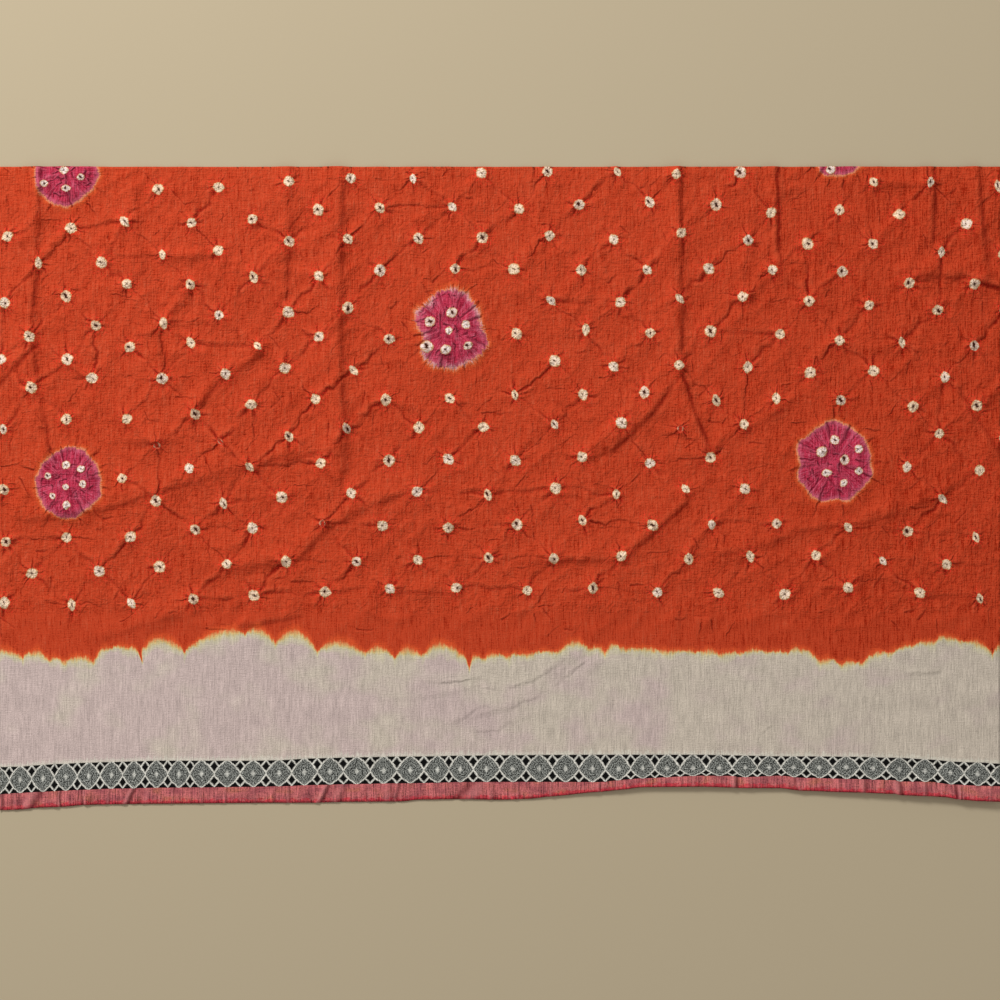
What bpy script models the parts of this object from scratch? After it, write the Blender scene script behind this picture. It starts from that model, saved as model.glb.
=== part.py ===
"""Bandhani cloth: a cut length of tie-dyed cotton that lies creased on a flat surface.

The cloth is one woven sheet. It lies in the XY plane with its thickness along +Z: +X runs along the
selvedge, +Y from the selvedge to the far cut edge, and the origin is at the middle of its underside.
Places on the cloth are in millimetres, along from the left cut edge and down from the far cut edge.
"""

import bpy
import numpy as np

MM = 0.001

# The cut length, in metres
LENGTH = 500.0 * MM
DEPTH = 321.5 * MM
THICKNESS = 1.0 * MM

# The lattice of ties, in millimetres: each row stands half a pitch along from the next
HALF_PITCH = 16.15
FIRST_TIE = 2.0
TIE_COLUMNS = 32
DRIFT = 3.5
DRIFT_COLUMNS = 18
JITTER_ALONG = 2.5
JITTER_DOWN = 2.0
JITTER_SEED = 11

# Rows of ties from the far cut edge to the dye line, in millimetres
# shift at the left and right end, then the row's place down at the left, middle and right
TIE_ROWS = (
    (0.5, -3.9, 18.0, 4.0, 11.5),
    (0.9, -3.0, 36.5, 19.5, 29.5),
    (0.2, -1.5, 52.0, 34.5, 45.5),
    (0.4, -2.0, 67.0, 50.5, 60.5),
    (-0.1, -1.5, 86.5, 67.5, 72.5),
    (0.8, -1.9, 98.0, 83.5, 91.5),
    (-0.7, -0.2, 111.0, 98.5, 107.0),
    (-0.3, -0.5, 130.5, 115.0, 121.0),
    (-1.3, 0.0, 145.0, 130.0, 135.0),
    (-1.0, 0.6, 159.5, 147.0, 152.0),
    (-2.0, 1.6, 174.0, 162.0, 168.0),
    (-0.2, 0.7, 187.5, 178.5, 184.5),
    (0.8, 3.4, 202.5, 195.5, 197.5),
    (1.0, 4.1, 219.5, 211.0, 214.5),
)

# Lines below the dyed field at stations along the cloth, in millimetres
# along, top of the woven border, top of the selvedge strip, outer edge, lift of that edge
BORDER_TOP, STRIP_TOP, OUTER_EDGE, EDGE_LIFT = 1, 2, 3, 4
EDGE_STATIONS = (
    (0.0, 300.0, 313.5, 321.5, 0.6),
    (30.0, 298.5, 312.0, 320.0, 0.8),
    (70.0, 297.0, 310.5, 318.0, 0.6),
    (130.0, 296.5, 310.0, 317.5, 0.5),
    (200.0, 294.5, 308.5, 316.5, 0.6),
    (270.0, 293.5, 307.5, 315.5, 1.0),
    (300.0, 294.0, 307.5, 311.5, 2.0),
    (340.0, 293.5, 305.0, 309.5, 2.2),
    (390.0, 294.0, 304.5, 310.5, 1.8),
    (430.0, 294.5, 306.0, 312.5, 2.6),
    (460.0, 295.5, 307.0, 314.0, 3.4),
    (500.0, 298.0, 309.0, 317.0, 3.8),
)

# Roundels, each a gathered disc of small ties in place of one tie and the four nearest to it
# along, down, half width, half height in millimetres
ROUNDELS = (
    (34.0, 3.0, 15.5, 18.0),
    (418.0, -11.0, 16.0, 18.0),
    (225.0, 80.5, 18.5, 20.5),
    (34.5, 158.0, 17.0, 18.5),
    (417.0, 147.5, 19.0, 20.5),
)
ROUNDEL_RISE = 1.4
ROUNDEL_REACH = 1.45
ROUNDEL_RING = 6
ROUNDEL_RING_REACH = 0.56
ROUNDEL_TIE_RISE = 2.6
ROUNDEL_TIE_HALF_WIDTH = 4.0

# Main folds, each a ridge along a route that starts at its upper or right end, in millimetres
# name, height, half width on the left or upper side, half width on the right or lower side, route
FOLDS = (
    ("left ridge", 4.0, 9.0, 4.5, ((19.5, -5), (15, 80), (17, 110), (22.5, 140))),
    ("short left crease", 2.5, 6.0, 4.5, ((66, 10), (70, 52), (81, 105))),
    ("left middle ridge", 3.0, 7.0, 4.5, ((145, -5), (143, 30), (141, 62))),
    ("middle ridge", 5.0, 9.0, 5.0, ((170, -5), (169, 25), (169, 90), (171, 150))),
    ("right ridge", 4.2, 8.0, 4.5, ((338, -5), (339, 50), (339, 105), (352, 140))),
    ("upper right crease", 2.2, 5.0, 4.0, ((387, -5), (388, 57))),
    ("right pleat", 2.6, 6.0, 4.0, ((465, -5), (465, 36))),
    ("far right pleat", 3.2, 6.0, 4.5, ((487, -5), (488, 12), (492, 54))),
    ("right cross fold", 3.0, 6.0, 4.5, ((502, 60), (482, 53), (455, 53))),
    ("lower right diagonal", 2.4, 6.0, 5.0, ((470, 107), (485, 126), (502, 152))),
    ("left edge fold", 3.0, 6.0, 5.0, ((17, 87), (-2, 108))),
    ("long rising crease", 2.6, 8.0, 5.0, ((165, 140), (127, 147), (82, 160), (50, 170), (15, 175))),
    ("lower rising crease", 3.0, 7.0, 5.0, ((207, 160), (185, 167), (162, 180), (147, 195), (117, 200))),
    ("left low crease", 1.8, 7.0, 5.0, ((95, 220), (50, 235))),
    ("dye line crease", 1.5, 6.0, 5.0, ((150, 222), (125, 228))),
    ("centre diagonal", 3.6, 7.0, 5.0, ((340, 100), (325, 122), (305, 140))),
    ("centre low crease", 2.6, 6.0, 5.0, ((342, 167), (327, 180), (310, 195), (275, 195))),
    ("right rising crease", 2.6, 7.0, 5.0, ((472, 162), (437, 175), (400, 180), (387, 186), (360, 192))),
    ("right short ridge", 2.4, 6.0, 5.0, ((390, 120), (357, 140))),
    ("upper left crease", 2.0, 6.0, 5.0, ((130, 92), (107, 107), (95, 122))),
    ("left crumple", 2.4, 6.0, 5.0, ((80, 135), (70, 137))),
    ("middle low crease", 1.5, 5.0, 4.0, ((225, 212), (195, 211))),
    ("right low crease", 1.4, 5.0, 4.0, ((490, 213), (462, 213))),
    ("pale band crease", 2.6, 8.0, 5.0, ((298, 235), (265, 265), (225, 277))),
    ("second pale crease", 1.6, 5.0, 5.0, ((302, 245), (272, 270), (240, 281))),
)

# Soft rise and fall of the dyed field and the small peak of each tie, in millimetres
TIE_RISE = 2.3
TIE_HALF_WIDTH = 4.6
WAVE_RISE = 0.45
WAVE_ALONG = 61.0
WAVE_DOWN = 47.0
WAVE_SLANT = 0.35
FIELD_EDGE = 236.0
FIELD_FADE = 12.0
SLACK = 0.5
EDGE_REACH = 9.0

# Cells of the sheet below the last row of ties: undyed band, woven border, selvedge strip
BAND_CELLS = 8
BORDER_CELLS = 2
STRIP_CELLS = 2

CLOTH_COLOUR = (0.47, 0.05, 0.016, 1.0)
CLOTH_ROUGHNESS = 0.9


def clear_scene():
    for old in list(bpy.data.objects):
        bpy.data.objects.remove(old)


def row_down(row, along):
    """A tie row's place down the cloth: the parabola through its left, middle and right points."""
    left, middle, right = row[2:]
    t = along / (LENGTH / MM)
    return left * (1 - t) * (1 - 2 * t) + middle * 4 * t * (1 - t) + right * t * (2 * t - 1)


def row_along(row, column):
    """Places along the cloth of tie columns: an even pitch, drawn in at the left, plus the row's shift."""
    drift = -DRIFT * np.sin(np.pi * column / DRIFT_COLUMNS) * (column < DRIFT_COLUMNS)
    shift = np.interp(column, (0, TIE_COLUMNS - 1), row[:2])
    return FIRST_TIE + HALF_PITCH * column + drift + shift


def tie_jitter():
    """How far each tie strays from its lattice place: rows by columns by (along, down)."""
    draw = np.random.default_rng(JITTER_SEED)
    stray = draw.uniform(-1, 1, (len(TIE_ROWS), TIE_COLUMNS, 2))
    return stray * (JITTER_ALONG, JITTER_DOWN)


def tie_is_here(row, column, along, down):
    """Rows hold every second column, and a roundel clears the ties within its reach."""
    in_row = (column + len(TIE_ROWS) - 1 - row) % 2 == 0
    for centre_along, centre_down, half_width, half_height in ROUNDELS:
        reach = np.hypot((along - centre_along) / half_width, (down - centre_down) / half_height)
        in_row = in_row & (reach > ROUNDEL_REACH)
    return in_row


def edge_line(which, along):
    """One column of the stations, read between them at places along the cloth."""
    stations = np.array(EDGE_STATIONS)
    return np.interp(along, stations[:, 0], stations[:, which])


def sheet_points():
    """Rows of points across the cloth, with the ties on every second point of every second row."""
    columns = np.arange(2 * TIE_COLUMNS - 1) / 2
    lines = []
    ties = []
    jitter = tie_jitter()
    for index, row in enumerate(TIE_ROWS):
        along = row_along(row, columns)
        along[0] = 0.0
        along[-1] = LENGTH / MM
        down = row_down(row, along)
        tie_columns = np.arange(TIE_COLUMNS)
        here = tie_is_here(index, tie_columns, along[::2], down[::2])
        here_along = here & (tie_columns > 0) & (tie_columns < TIE_COLUMNS - 1)
        along[::2] += jitter[index, :, 0] * here_along
        down[::2] += jitter[index, :, 1] * here
        lines.append((along, down))
        ties.append(np.column_stack((along[::2], down[::2]))[here])
    grid = [(lines[0][0], np.zeros(len(columns)))]
    for (along, down), (next_along, next_down) in zip(lines, lines[1:]):
        grid.append((along, down))
        grid.append(((along + next_along) / 2, (down + next_down) / 2))
    last_along, last_down = lines[-1]
    grid.append((last_along, last_down))
    even_along = np.interp(np.arange(len(columns)), (0, len(columns) - 1), (0.0, LENGTH / MM))
    grid += steps_between((last_along, last_down), even_along, BORDER_TOP, BAND_CELLS)
    grid += steps_between(grid[-1], even_along, STRIP_TOP, BORDER_CELLS)
    grid += steps_between(grid[-1], even_along, OUTER_EDGE, STRIP_CELLS)
    return np.array([line[0] for line in grid]), np.array([line[1] for line in grid]), np.vstack(ties)


def steps_between(start, even_along, which, cells):
    """Even steps from a row of points to one of the lines below the dyed field."""
    start_along, start_down = start
    end_down = edge_line(which, even_along)
    steps = []
    for step in range(1, cells + 1):
        share = step / cells
        along = start_along + (even_along - start_along) * share
        steps.append((along, start_down + (end_down - start_down) * share))
    return steps


def ridge(along, down, height, upper_half, lower_half, route):
    """A soft ridge: the height falls off from the route as a bell, of its own width on each side."""
    nearest = np.full(along.shape, np.inf)
    below = np.zeros(along.shape, dtype=bool)
    for (start_along, start_down), (end_along, end_down) in zip(route, route[1:]):
        run_along = end_along - start_along
        run_down = end_down - start_down
        away_along = along - start_along
        away_down = down - start_down
        share = (away_along * run_along + away_down * run_down) / (run_along ** 2 + run_down ** 2)
        share = np.clip(share, 0, 1)
        distance = np.hypot(away_along - share * run_along, away_down - share * run_down)
        closer = distance < nearest
        side = run_along * away_down - run_down * away_along
        below = np.where(closer, side < 0, below)
        nearest = np.where(closer, distance, nearest)
    half = np.where(below, lower_half, upper_half)
    return height * np.exp(-(nearest / half) ** 2)


def cloth_rise(along, down, ties):
    """Height of the underside: folds, waves, ties, roundels and lifted edge, less what the slack takes up."""
    folds = sum(ridge(along, down, *fold[1:]) ** 2 for fold in FOLDS) ** 0.5
    in_field = 1 / (1 + np.exp((down - FIELD_EDGE) / FIELD_FADE))
    waves = np.sin(2 * np.pi * (along + WAVE_SLANT * down) / WAVE_ALONG)
    waves = waves + np.sin(2 * np.pi * (down - WAVE_SLANT * along) / WAVE_DOWN)
    rise = folds + WAVE_RISE * waves * in_field
    for tie_along, tie_down in ties:
        distance = np.hypot(along - tie_along, down - tie_down)
        rise = rise + TIE_RISE * np.exp(-(distance / TIE_HALF_WIDTH) ** 2)
    for roundel in ROUNDELS:
        rise = rise + roundel_rise(along, down, *roundel)
    from_edge = (edge_line(OUTER_EDGE, along) - down) / EDGE_REACH
    rise = rise + edge_line(EDGE_LIFT, along) * np.exp(-(from_edge ** 2))
    return np.maximum(rise - SLACK, 0.0)


def roundel_rise(along, down, centre_along, centre_down, half_width, half_height):
    """A low dome, flat in its middle, that bears a ring of small peaks around a middle one."""
    reach = np.hypot((along - centre_along) / half_width, (down - centre_down) / half_height)
    rise = ROUNDEL_RISE * np.exp(-(reach ** 4))
    turns = np.arange(ROUNDEL_RING + 1) * 2 * np.pi / ROUNDEL_RING
    radii = np.append(np.full(ROUNDEL_RING, ROUNDEL_RING_REACH), 0.0)
    for turn, radius in zip(turns, radii):
        peak_along = centre_along + radius * half_width * np.cos(turn)
        peak_down = centre_down + radius * half_height * np.sin(turn)
        distance = np.hypot(along - peak_along, down - peak_down)
        rise = rise + ROUNDEL_TIE_RISE * np.exp(-(distance / ROUNDEL_TIE_HALF_WIDTH) ** 2)
    return rise


def cotton_material():
    cotton = bpy.data.materials.new("dyed_cotton")
    cotton.use_nodes = True
    shader = cotton.node_tree.nodes["Principled BSDF"]
    shader.inputs["Base Color"].default_value = CLOTH_COLOUR
    shader.inputs["Roughness"].default_value = CLOTH_ROUGHNESS
    shader.inputs["Metallic"].default_value = 0.0
    return cotton


def make_cloth(collection):
    """The underside as a grid in its folds, thickened upwards."""
    along, down, ties = sheet_points()
    rise = cloth_rise(along, down, ties)
    rows, columns = along.shape
    bpy.ops.mesh.primitive_grid_add(x_subdivisions=columns - 1, y_subdivisions=rows - 1, size=1.0)
    cloth = bpy.context.object
    flat = np.empty(rows * columns * 3)
    cloth.data.vertices.foreach_get("co", flat)
    flat = flat.reshape(-1, 3)
    column = np.rint((flat[:, 0] + 0.5) * (columns - 1)).astype(int)
    row = np.rint((0.5 - flat[:, 1]) * (rows - 1)).astype(int)
    shaped = np.empty_like(flat)
    shaped[:, 0] = along[row, column] * MM - LENGTH / 2
    shaped[:, 1] = DEPTH / 2 - down[row, column] * MM
    shaped[:, 2] = rise[row, column] * MM
    cloth.data.vertices.foreach_set("co", shaped.ravel())
    cloth.data.update()
    cloth.name = "cloth"
    cloth.data.name = "cloth"
    cloth.data.materials.append(cotton_material())
    thicken = cloth.modifiers.new("thickness", "SOLIDIFY")
    thicken.thickness = THICKNESS
    thicken.offset = 1.0
    thicken.use_even_offset = True
    for holder in list(cloth.users_collection):
        holder.objects.unlink(cloth)
    collection.objects.link(cloth)
    return cloth


clear_scene()
bandhani = bpy.data.collections.new("bandhani_cloth")
bpy.context.scene.collection.children.link(bandhani)
make_cloth(bandhani)
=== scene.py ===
import bpy
import numpy as np
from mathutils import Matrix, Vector


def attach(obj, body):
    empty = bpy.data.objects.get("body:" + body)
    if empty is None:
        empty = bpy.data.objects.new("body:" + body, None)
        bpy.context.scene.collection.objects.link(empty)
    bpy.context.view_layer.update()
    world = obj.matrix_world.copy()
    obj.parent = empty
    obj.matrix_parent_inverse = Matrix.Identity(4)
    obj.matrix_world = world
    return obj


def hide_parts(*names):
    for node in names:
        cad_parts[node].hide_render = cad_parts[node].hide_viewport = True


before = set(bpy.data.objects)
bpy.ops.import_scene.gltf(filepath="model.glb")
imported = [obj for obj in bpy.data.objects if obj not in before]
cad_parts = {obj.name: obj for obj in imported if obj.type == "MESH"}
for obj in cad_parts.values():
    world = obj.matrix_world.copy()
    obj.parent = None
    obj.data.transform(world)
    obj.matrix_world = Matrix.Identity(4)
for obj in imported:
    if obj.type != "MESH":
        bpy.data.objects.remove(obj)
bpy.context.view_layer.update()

# The cloth: one length of handloom cotton, tied in hundreds of small knots, dyed orange and let loose again.
# It lies creased on the surface. Places on it are millimetres along from its left cut edge and down from
# its far cut edge, and it follows the folds and the ties of its solid.

LENGTH = 500.0
DEPTH = 321.5
MM = 0.001
CLOTH_THICKNESS = 0.3

HALF_PITCH = 16.15
FIRST_TIE = 2.0
TIE_COLUMNS = 32
DRIFT = 3.5
DRIFT_COLUMNS = 18
JITTER_ALONG = 2.5
JITTER_DOWN = 2.0
JITTER_SEED = 11

# Rows of ties: shift at the left and right end, then the place down at the left, middle and right
TIE_ROWS = (
    (0.5, -3.9, 18.0, 4.0, 11.5),
    (0.9, -3.0, 36.5, 19.5, 29.5),
    (0.2, -1.5, 52.0, 34.5, 45.5),
    (0.4, -2.0, 67.0, 50.5, 60.5),
    (-0.1, -1.5, 86.5, 67.5, 72.5),
    (0.8, -1.9, 98.0, 83.5, 91.5),
    (-0.7, -0.2, 111.0, 98.5, 107.0),
    (-0.3, -0.5, 130.5, 115.0, 121.0),
    (-1.3, 0.0, 145.0, 130.0, 135.0),
    (-1.0, 0.6, 159.5, 147.0, 152.0),
    (-2.0, 1.6, 174.0, 162.0, 168.0),
    (-0.2, 0.7, 187.5, 178.5, 184.5),
    (0.8, 3.4, 202.5, 195.5, 197.5),
    (1.0, 4.1, 219.5, 211.0, 214.5),
)

# Lines below the dyed field: along, border top, middle of its lozenges, strip top, outer edge, its lift
EDGE_STATIONS = np.array((
    (0.0, 299.6, 306.9, 313.6, 321.5, 0.6),
    (10.0, 299.4, 306.3, 312.9, 321.2, 0.7),
    (20.0, 298.6, 305.8, 312.4, 320.2, 0.8),
    (30.0, 298.0, 305.0, 311.9, 319.9, 0.7),
    (42.5, 297.5, 304.5, 311.3, 318.9, 0.7),
    (55.0, 297.1, 304.0, 310.8, 318.6, 0.6),
    (80.0, 296.4, 303.6, 310.3, 318.3, 0.6),
    (125.0, 296.5, 303.2, 309.9, 317.9, 0.5),
    (140.0, 296.2, 303.0, 309.6, 317.8, 0.5),
    (155.0, 295.3, 302.5, 309.0, 317.8, 0.6),
    (175.0, 294.8, 302.1, 308.5, 317.3, 0.6),
    (200.0, 294.3, 301.7, 308.1, 317.2, 0.6),
    (210.0, 294.3, 301.5, 308.0, 316.2, 0.6),
    (230.0, 293.9, 301.2, 307.5, 316.0, 0.7),
    (250.0, 293.7, 301.0, 307.4, 316.3, 0.7),
    (265.0, 293.6, 300.8, 307.4, 315.8, 0.8),
    (275.0, 293.5, 300.8, 307.4, 314.6, 1.1),
    (300.0, 293.4, 301.0, 307.4, 312.2, 1.8),
    (312.0, 293.4, 300.9, 306.2, 311.0, 2.1),
    (320.0, 293.4, 300.7, 305.5, 309.9, 2.2),
    (350.0, 293.4, 300.8, 304.2, 309.6, 2.3),
    (367.0, 293.8, 300.4, 304.3, 310.1, 2.1),
    (369.0, 293.8, 300.4, 305.0, 310.3, 2.1),
    (390.0, 294.3, 300.2, 304.2, 310.4, 1.8),
    (400.0, 294.3, 300.2, 305.2, 311.6, 2.0),
    (425.0, 294.5, 300.1, 305.8, 312.4, 2.6),
    (447.0, 295.0, 301.0, 306.4, 313.1, 3.0),
    (450.0, 295.1, 301.1, 307.1, 313.8, 3.0),
    (465.0, 295.9, 302.1, 307.2, 314.3, 3.2),
    (475.0, 296.8, 302.8, 308.4, 314.9, 3.3),
    (477.0, 297.0, 302.9, 308.6, 315.7, 3.3),
    (490.0, 297.4, 303.5, 309.2, 316.7, 3.6),
    (500.0, 298.0, 304.2, 309.4, 317.0, 3.8),
))
BORDER_TOP, BORDER_MIDDLE, STRIP_TOP, OUTER_EDGE, EDGE_LIFT = 1, 2, 3, 4, 5

# Roundels: along, down, half width, half height, fray of the rim from 0 to 1
ROUNDELS = np.array((
    (34.0, 3.0, 15.5, 18.0, 0.3),
    (418.0, -11.0, 16.0, 18.0, 0.25),
    (225.0, 80.5, 18.0, 20.0, 1.0),
    (34.5, 158.0, 17.0, 18.5, 0.3),
    (417.0, 147.5, 19.0, 20.5, 0.25),
))
# Their outlines: reach in mm at sixteen even headings, from the right and clockwise
ROUNDEL_OUTLINES = np.array((
    (15.9, 15.1, 14.7, 15.3, 16.9, 17.2, 17.0, 16.8, 15.9, 16.3, 16.0, 16.0, 16.0, 16.0, 15.0, 14.4),
    (15.0, 15.5, 16.1, 16.3, 15.5, 16.4, 13.8, 13.5, 14.0, 14.0, 14.0, 14.0, 14.0, 14.0, 14.5, 15.0),
    (16.2, 20.7, 20.2, 19.9, 20.3, 20.6, 19.2, 14.4, 16.2, 18.9, 16.6, 18.5, 19.5, 19.5, 17.2, 16.1),
    (16.1, 17.4, 16.3, 17.0, 18.0, 17.2, 17.2, 16.4, 16.6, 16.0, 16.1, 16.5, 18.0, 18.4, 16.9, 16.8),
    (18.2, 20.0, 18.9, 20.6, 18.7, 21.0, 19.6, 19.8, 17.3, 20.5, 18.8, 19.4, 21.0, 19.2, 19.0, 18.8),
))
ROUNDEL_REACH = 1.45

# Ties inside the roundels: along, down, half size
ROUNDEL_TIES = np.array((
    (32.5, 2.0, 2.1), (41.0, 5.5, 2.1), (22.5, 8.5, 2.2), (33.5, 11.0, 2.2),
    (415.0, 1.5, 2.4),
    (226.0, 73.0, 2.9), (215.0, 77.5, 2.7), (233.0, 79.0, 2.5), (224.5, 82.0, 2.1),
    (213.5, 90.0, 2.9), (223.0, 91.5, 2.7), (234.0, 89.5, 2.4),
    (33.5, 149.0, 2.1), (41.0, 151.0, 2.3), (24.5, 154.5, 1.9), (33.5, 160.0, 1.7),
    (42.0, 158.5, 2.2), (27.0, 164.5, 1.8), (34.0, 169.0, 2.1),
    (417.0, 136.5, 2.3), (410.5, 142.5, 2.6), (429.0, 141.0, 2.2), (422.0, 146.5, 2.5),
    (413.0, 153.0, 2.2), (429.0, 152.0, 2.2), (421.5, 158.0, 2.2),
))

# Main folds: name, height, half width above or left, half width below or right, sharpness of the line
# below (a crease with painted shade in its groove), route from its upper end
FOLDS = (
    ("left ridge", 4.0, 9.0, 4.5, 0.5, ((19.5, -5), (15, 80), (17, 110), (22.5, 140))),
    ("short left crease", 2.5, 6.0, 4.5, 0.2, ((66, 10), (70, 52), (81, 105))),
    ("left middle ridge", 3.0, 7.0, 4.5, 0.4, ((145, -5), (143, 30), (141, 62))),
    ("middle ridge", 5.0, 10.0, 5.0, 0.5, ((170, -5), (169, 25), (169, 90), (171, 150))),
    ("right ridge", 4.2, 9.0, 4.5, 0.8, ((338, -5), (339, 50), (339, 105), (352, 140))),
    ("upper right crease", 2.2, 5.0, 4.0, 0.8, ((387, -5), (388, 57))),
    ("right pleat", 2.6, 6.0, 4.0, 0.7, ((465, -5), (465, 36))),
    ("far right pleat", 3.2, 6.0, 4.5, 0.6, ((487, -5), (488, 12), (492, 54))),
    ("right cross fold", 3.0, 6.0, 4.5, 0.9, ((502, 60), (482, 53), (455, 53))),
    ("lower right diagonal", 2.4, 6.0, 5.0, 0.6, ((470, 107), (485, 126), (502, 152))),
    ("left edge fold", 3.0, 6.0, 5.0, 0.8, ((17, 87), (-2, 108))),
    ("long rising crease", 2.6, 8.0, 5.0, 0.5, ((165, 140), (127, 147), (82, 160), (50, 170), (15, 175))),
    ("lower rising crease", 3.0, 7.0, 5.0, 0.5, ((207, 160), (185, 167), (162, 180), (147, 195), (117, 200))),
    ("left low crease", 1.8, 7.0, 5.0, 0.2, ((95, 220), (50, 235))),
    ("dye line crease", 1.5, 6.0, 5.0, 0.5, ((150, 222), (125, 228))),
    ("centre diagonal", 3.6, 7.0, 5.0, 0.8, ((340, 100), (325, 122), (305, 140))),
    ("centre low crease", 2.6, 6.0, 5.0, 0.6, ((342, 167), (327, 180), (310, 195), (275, 195))),
    ("right rising crease", 2.6, 7.0, 5.0, 0.4, ((472, 162), (437, 175), (400, 180), (387, 186), (360, 192))),
    ("right short ridge", 2.4, 6.0, 5.0, 0.5, ((390, 120), (357, 140))),
    ("upper left crease", 2.0, 6.0, 5.0, 0.5, ((130, 92), (107, 107), (95, 122))),
    ("left crumple", 2.4, 6.0, 5.0, 0.5, ((80, 135), (70, 137))),
    ("middle low crease", 1.5, 5.0, 4.0, 0.4, ((225, 212), (195, 211))),
    ("right low crease", 1.4, 5.0, 4.0, 0.6, ((490, 213), (462, 213))),
    ("pale band crease", 2.6, 8.0, 5.0, 0.3, ((298, 235), (265, 265), (225, 277))),
    ("second pale crease", 1.6, 5.0, 5.0, 0.4, ((302, 245), (272, 270), (240, 281))),
)
FOLD_SHARE = 0.57
PALE_FOLD_SHARE = 0.22

# Tucks across the coloured strip: along, half width, depth from 0 to 1, lean in mm a mm down
TUCKS = (
    (1.5, 0.9, 0.6, 0.0), (6.2, 0.6, 0.4, 0.0), (20.5, 1.9, 0.9, -0.5), (30.4, 0.4, 0.9, 0.0),
    (40.8, 0.5, 0.9, 0.1), (55.0, 0.4, 0.5, 0.0), (67.8, 0.9, 1.0, -0.45), (71.8, 1.3, 0.4, -0.2),
    (87.3, 0.6, 0.3, 0.0), (101.5, 0.8, 0.35, 0.1), (113.4, 0.4, 0.4, 0.0), (128.0, 0.6, 0.3, 0.1),
    (145.0, 0.5, 0.6, 0.0), (165.2, 0.9, 1.0, -0.5), (174.0, 1.6, 0.5, -0.4), (183.0, 0.6, 0.3, 0.0),
    (196.0, 1.3, 0.45, 0.0), (200.0, 0.9, 0.6, -0.2), (236.0, 2.2, 0.8, -0.8), (247.0, 0.6, 0.35, 0.0),
    (259.8, 0.4, 0.5, 0.0), (274.5, 0.4, 0.5, 0.0), (300.3, 0.5, 0.5, 0.0), (307.0, 0.5, 0.4, 0.0),
    (345.0, 0.6, 0.3, 0.0), (368.5, 1.0, 1.0, 0.0), (376.4, 0.5, 0.4, 0.0), (397.0, 0.7, 0.6, 0.2),
    (419.8, 0.6, 0.35, 0.0), (432.8, 0.9, 0.7, 0.0), (450.0, 1.2, 1.0, 0.1), (463.2, 0.8, 0.6, 0.0),
    (477.5, 0.9, 1.0, 0.1), (480.5, 0.3, 0.6, 0.0), (496.4, 1.0, 0.35, 0.0),
)

COLUMNS = 396
FIELD_ROWS = 183
BAND_ROWS = 27
BORDER_ROWS = 9
STRIP_ROWS = 6
FIELD_DEPTH = 232.0
UNDERSIDE_STEP = 3


def row_down(row, along):
    """A tie row's place down the cloth: the parabola through its left, middle and right points."""
    left, middle, right = row[2:]
    t = along / LENGTH
    return left * (1 - t) * (1 - 2 * t) + middle * 4 * t * (1 - t) + right * t * (2 * t - 1)


def row_along(row, column):
    """Places along the cloth of tie columns: an even pitch, drawn in at the left, plus the row's shift."""
    drift = -DRIFT * np.sin(np.pi * column / DRIFT_COLUMNS) * (column < DRIFT_COLUMNS)
    shift = np.interp(column, (0, TIE_COLUMNS - 1), row[:2])
    return FIRST_TIE + HALF_PITCH * column + drift + shift


def field_ties():
    """Every second column of each row, strayed a little, and none where a roundel has gathered the cloth."""
    stray = np.random.default_rng(JITTER_SEED).uniform(-1, 1, (len(TIE_ROWS), TIE_COLUMNS, 2))
    column = np.arange(TIE_COLUMNS)
    found = []
    for index, row in enumerate(TIE_ROWS):
        along = row_along(row, column)
        down = row_down(row, along)
        here = (column + len(TIE_ROWS) - 1 - index) % 2 == 0
        for centre_along, centre_down, half_width, half_height in ROUNDELS[:, :4]:
            reach = np.hypot((along - centre_along) / half_width, (down - centre_down) / half_height)
            here = here & (reach > ROUNDEL_REACH)
        along = along + stray[index, :, 0] * JITTER_ALONG
        down = down + stray[index, :, 1] * JITTER_DOWN
        found.append(np.column_stack((along, down))[here])
    return np.vstack(found)


def edge_line(which, along):
    """One column of the stations, eased with a cosine from each station to the next."""
    stations = EDGE_STATIONS[:, 0]
    place = np.clip(np.searchsorted(stations, along, side="right") - 1, 0, len(stations) - 2)
    share = (along - stations[place]) / (stations[place + 1] - stations[place])
    share = 0.5 * (share + 0.5 - 0.5 * np.cos(np.pi * np.clip(share, 0, 1)))
    values = EDGE_STATIONS[:, which]
    return values[place] + (values[place + 1] - values[place]) * share


def roundel_reach(along, down):
    """Distance from each roundel's centre, as a share of its half sizes, in a new last axis."""
    across = (along[..., None] - ROUNDELS[:, 0]) / ROUNDELS[:, 2]
    below = (down[..., None] - ROUNDELS[:, 1]) / ROUNDELS[:, 3]
    return np.hypot(across, below)


field_tie_places = field_ties()
ties = np.vstack((field_tie_places, ROUNDEL_TIES[:, :2]))
in_roundel = np.arange(len(ties)) >= len(field_tie_places)


def sheet_grid():
    """Rows of points down the cloth: even in the dyed field, then fitted between the lines below it."""
    along = np.linspace(0, LENGTH, COLUMNS + 1)
    lines = [np.full_like(along, 0.0), np.full_like(along, FIELD_DEPTH)]
    lines += [edge_line(which, along) for which in (BORDER_TOP, STRIP_TOP, OUTER_EDGE)]
    rows = []
    for start, end, cells in zip(lines, lines[1:], (FIELD_ROWS, BAND_ROWS, BORDER_ROWS, STRIP_ROWS)):
        share = np.arange(cells)[:, None] / cells
        rows.append(start + (end - start) * share)
    rows.append(lines[-1][None, :])
    down = np.vstack(rows)
    return np.broadcast_to(along, down.shape).copy(), down


along, down = sheet_grid()


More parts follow.
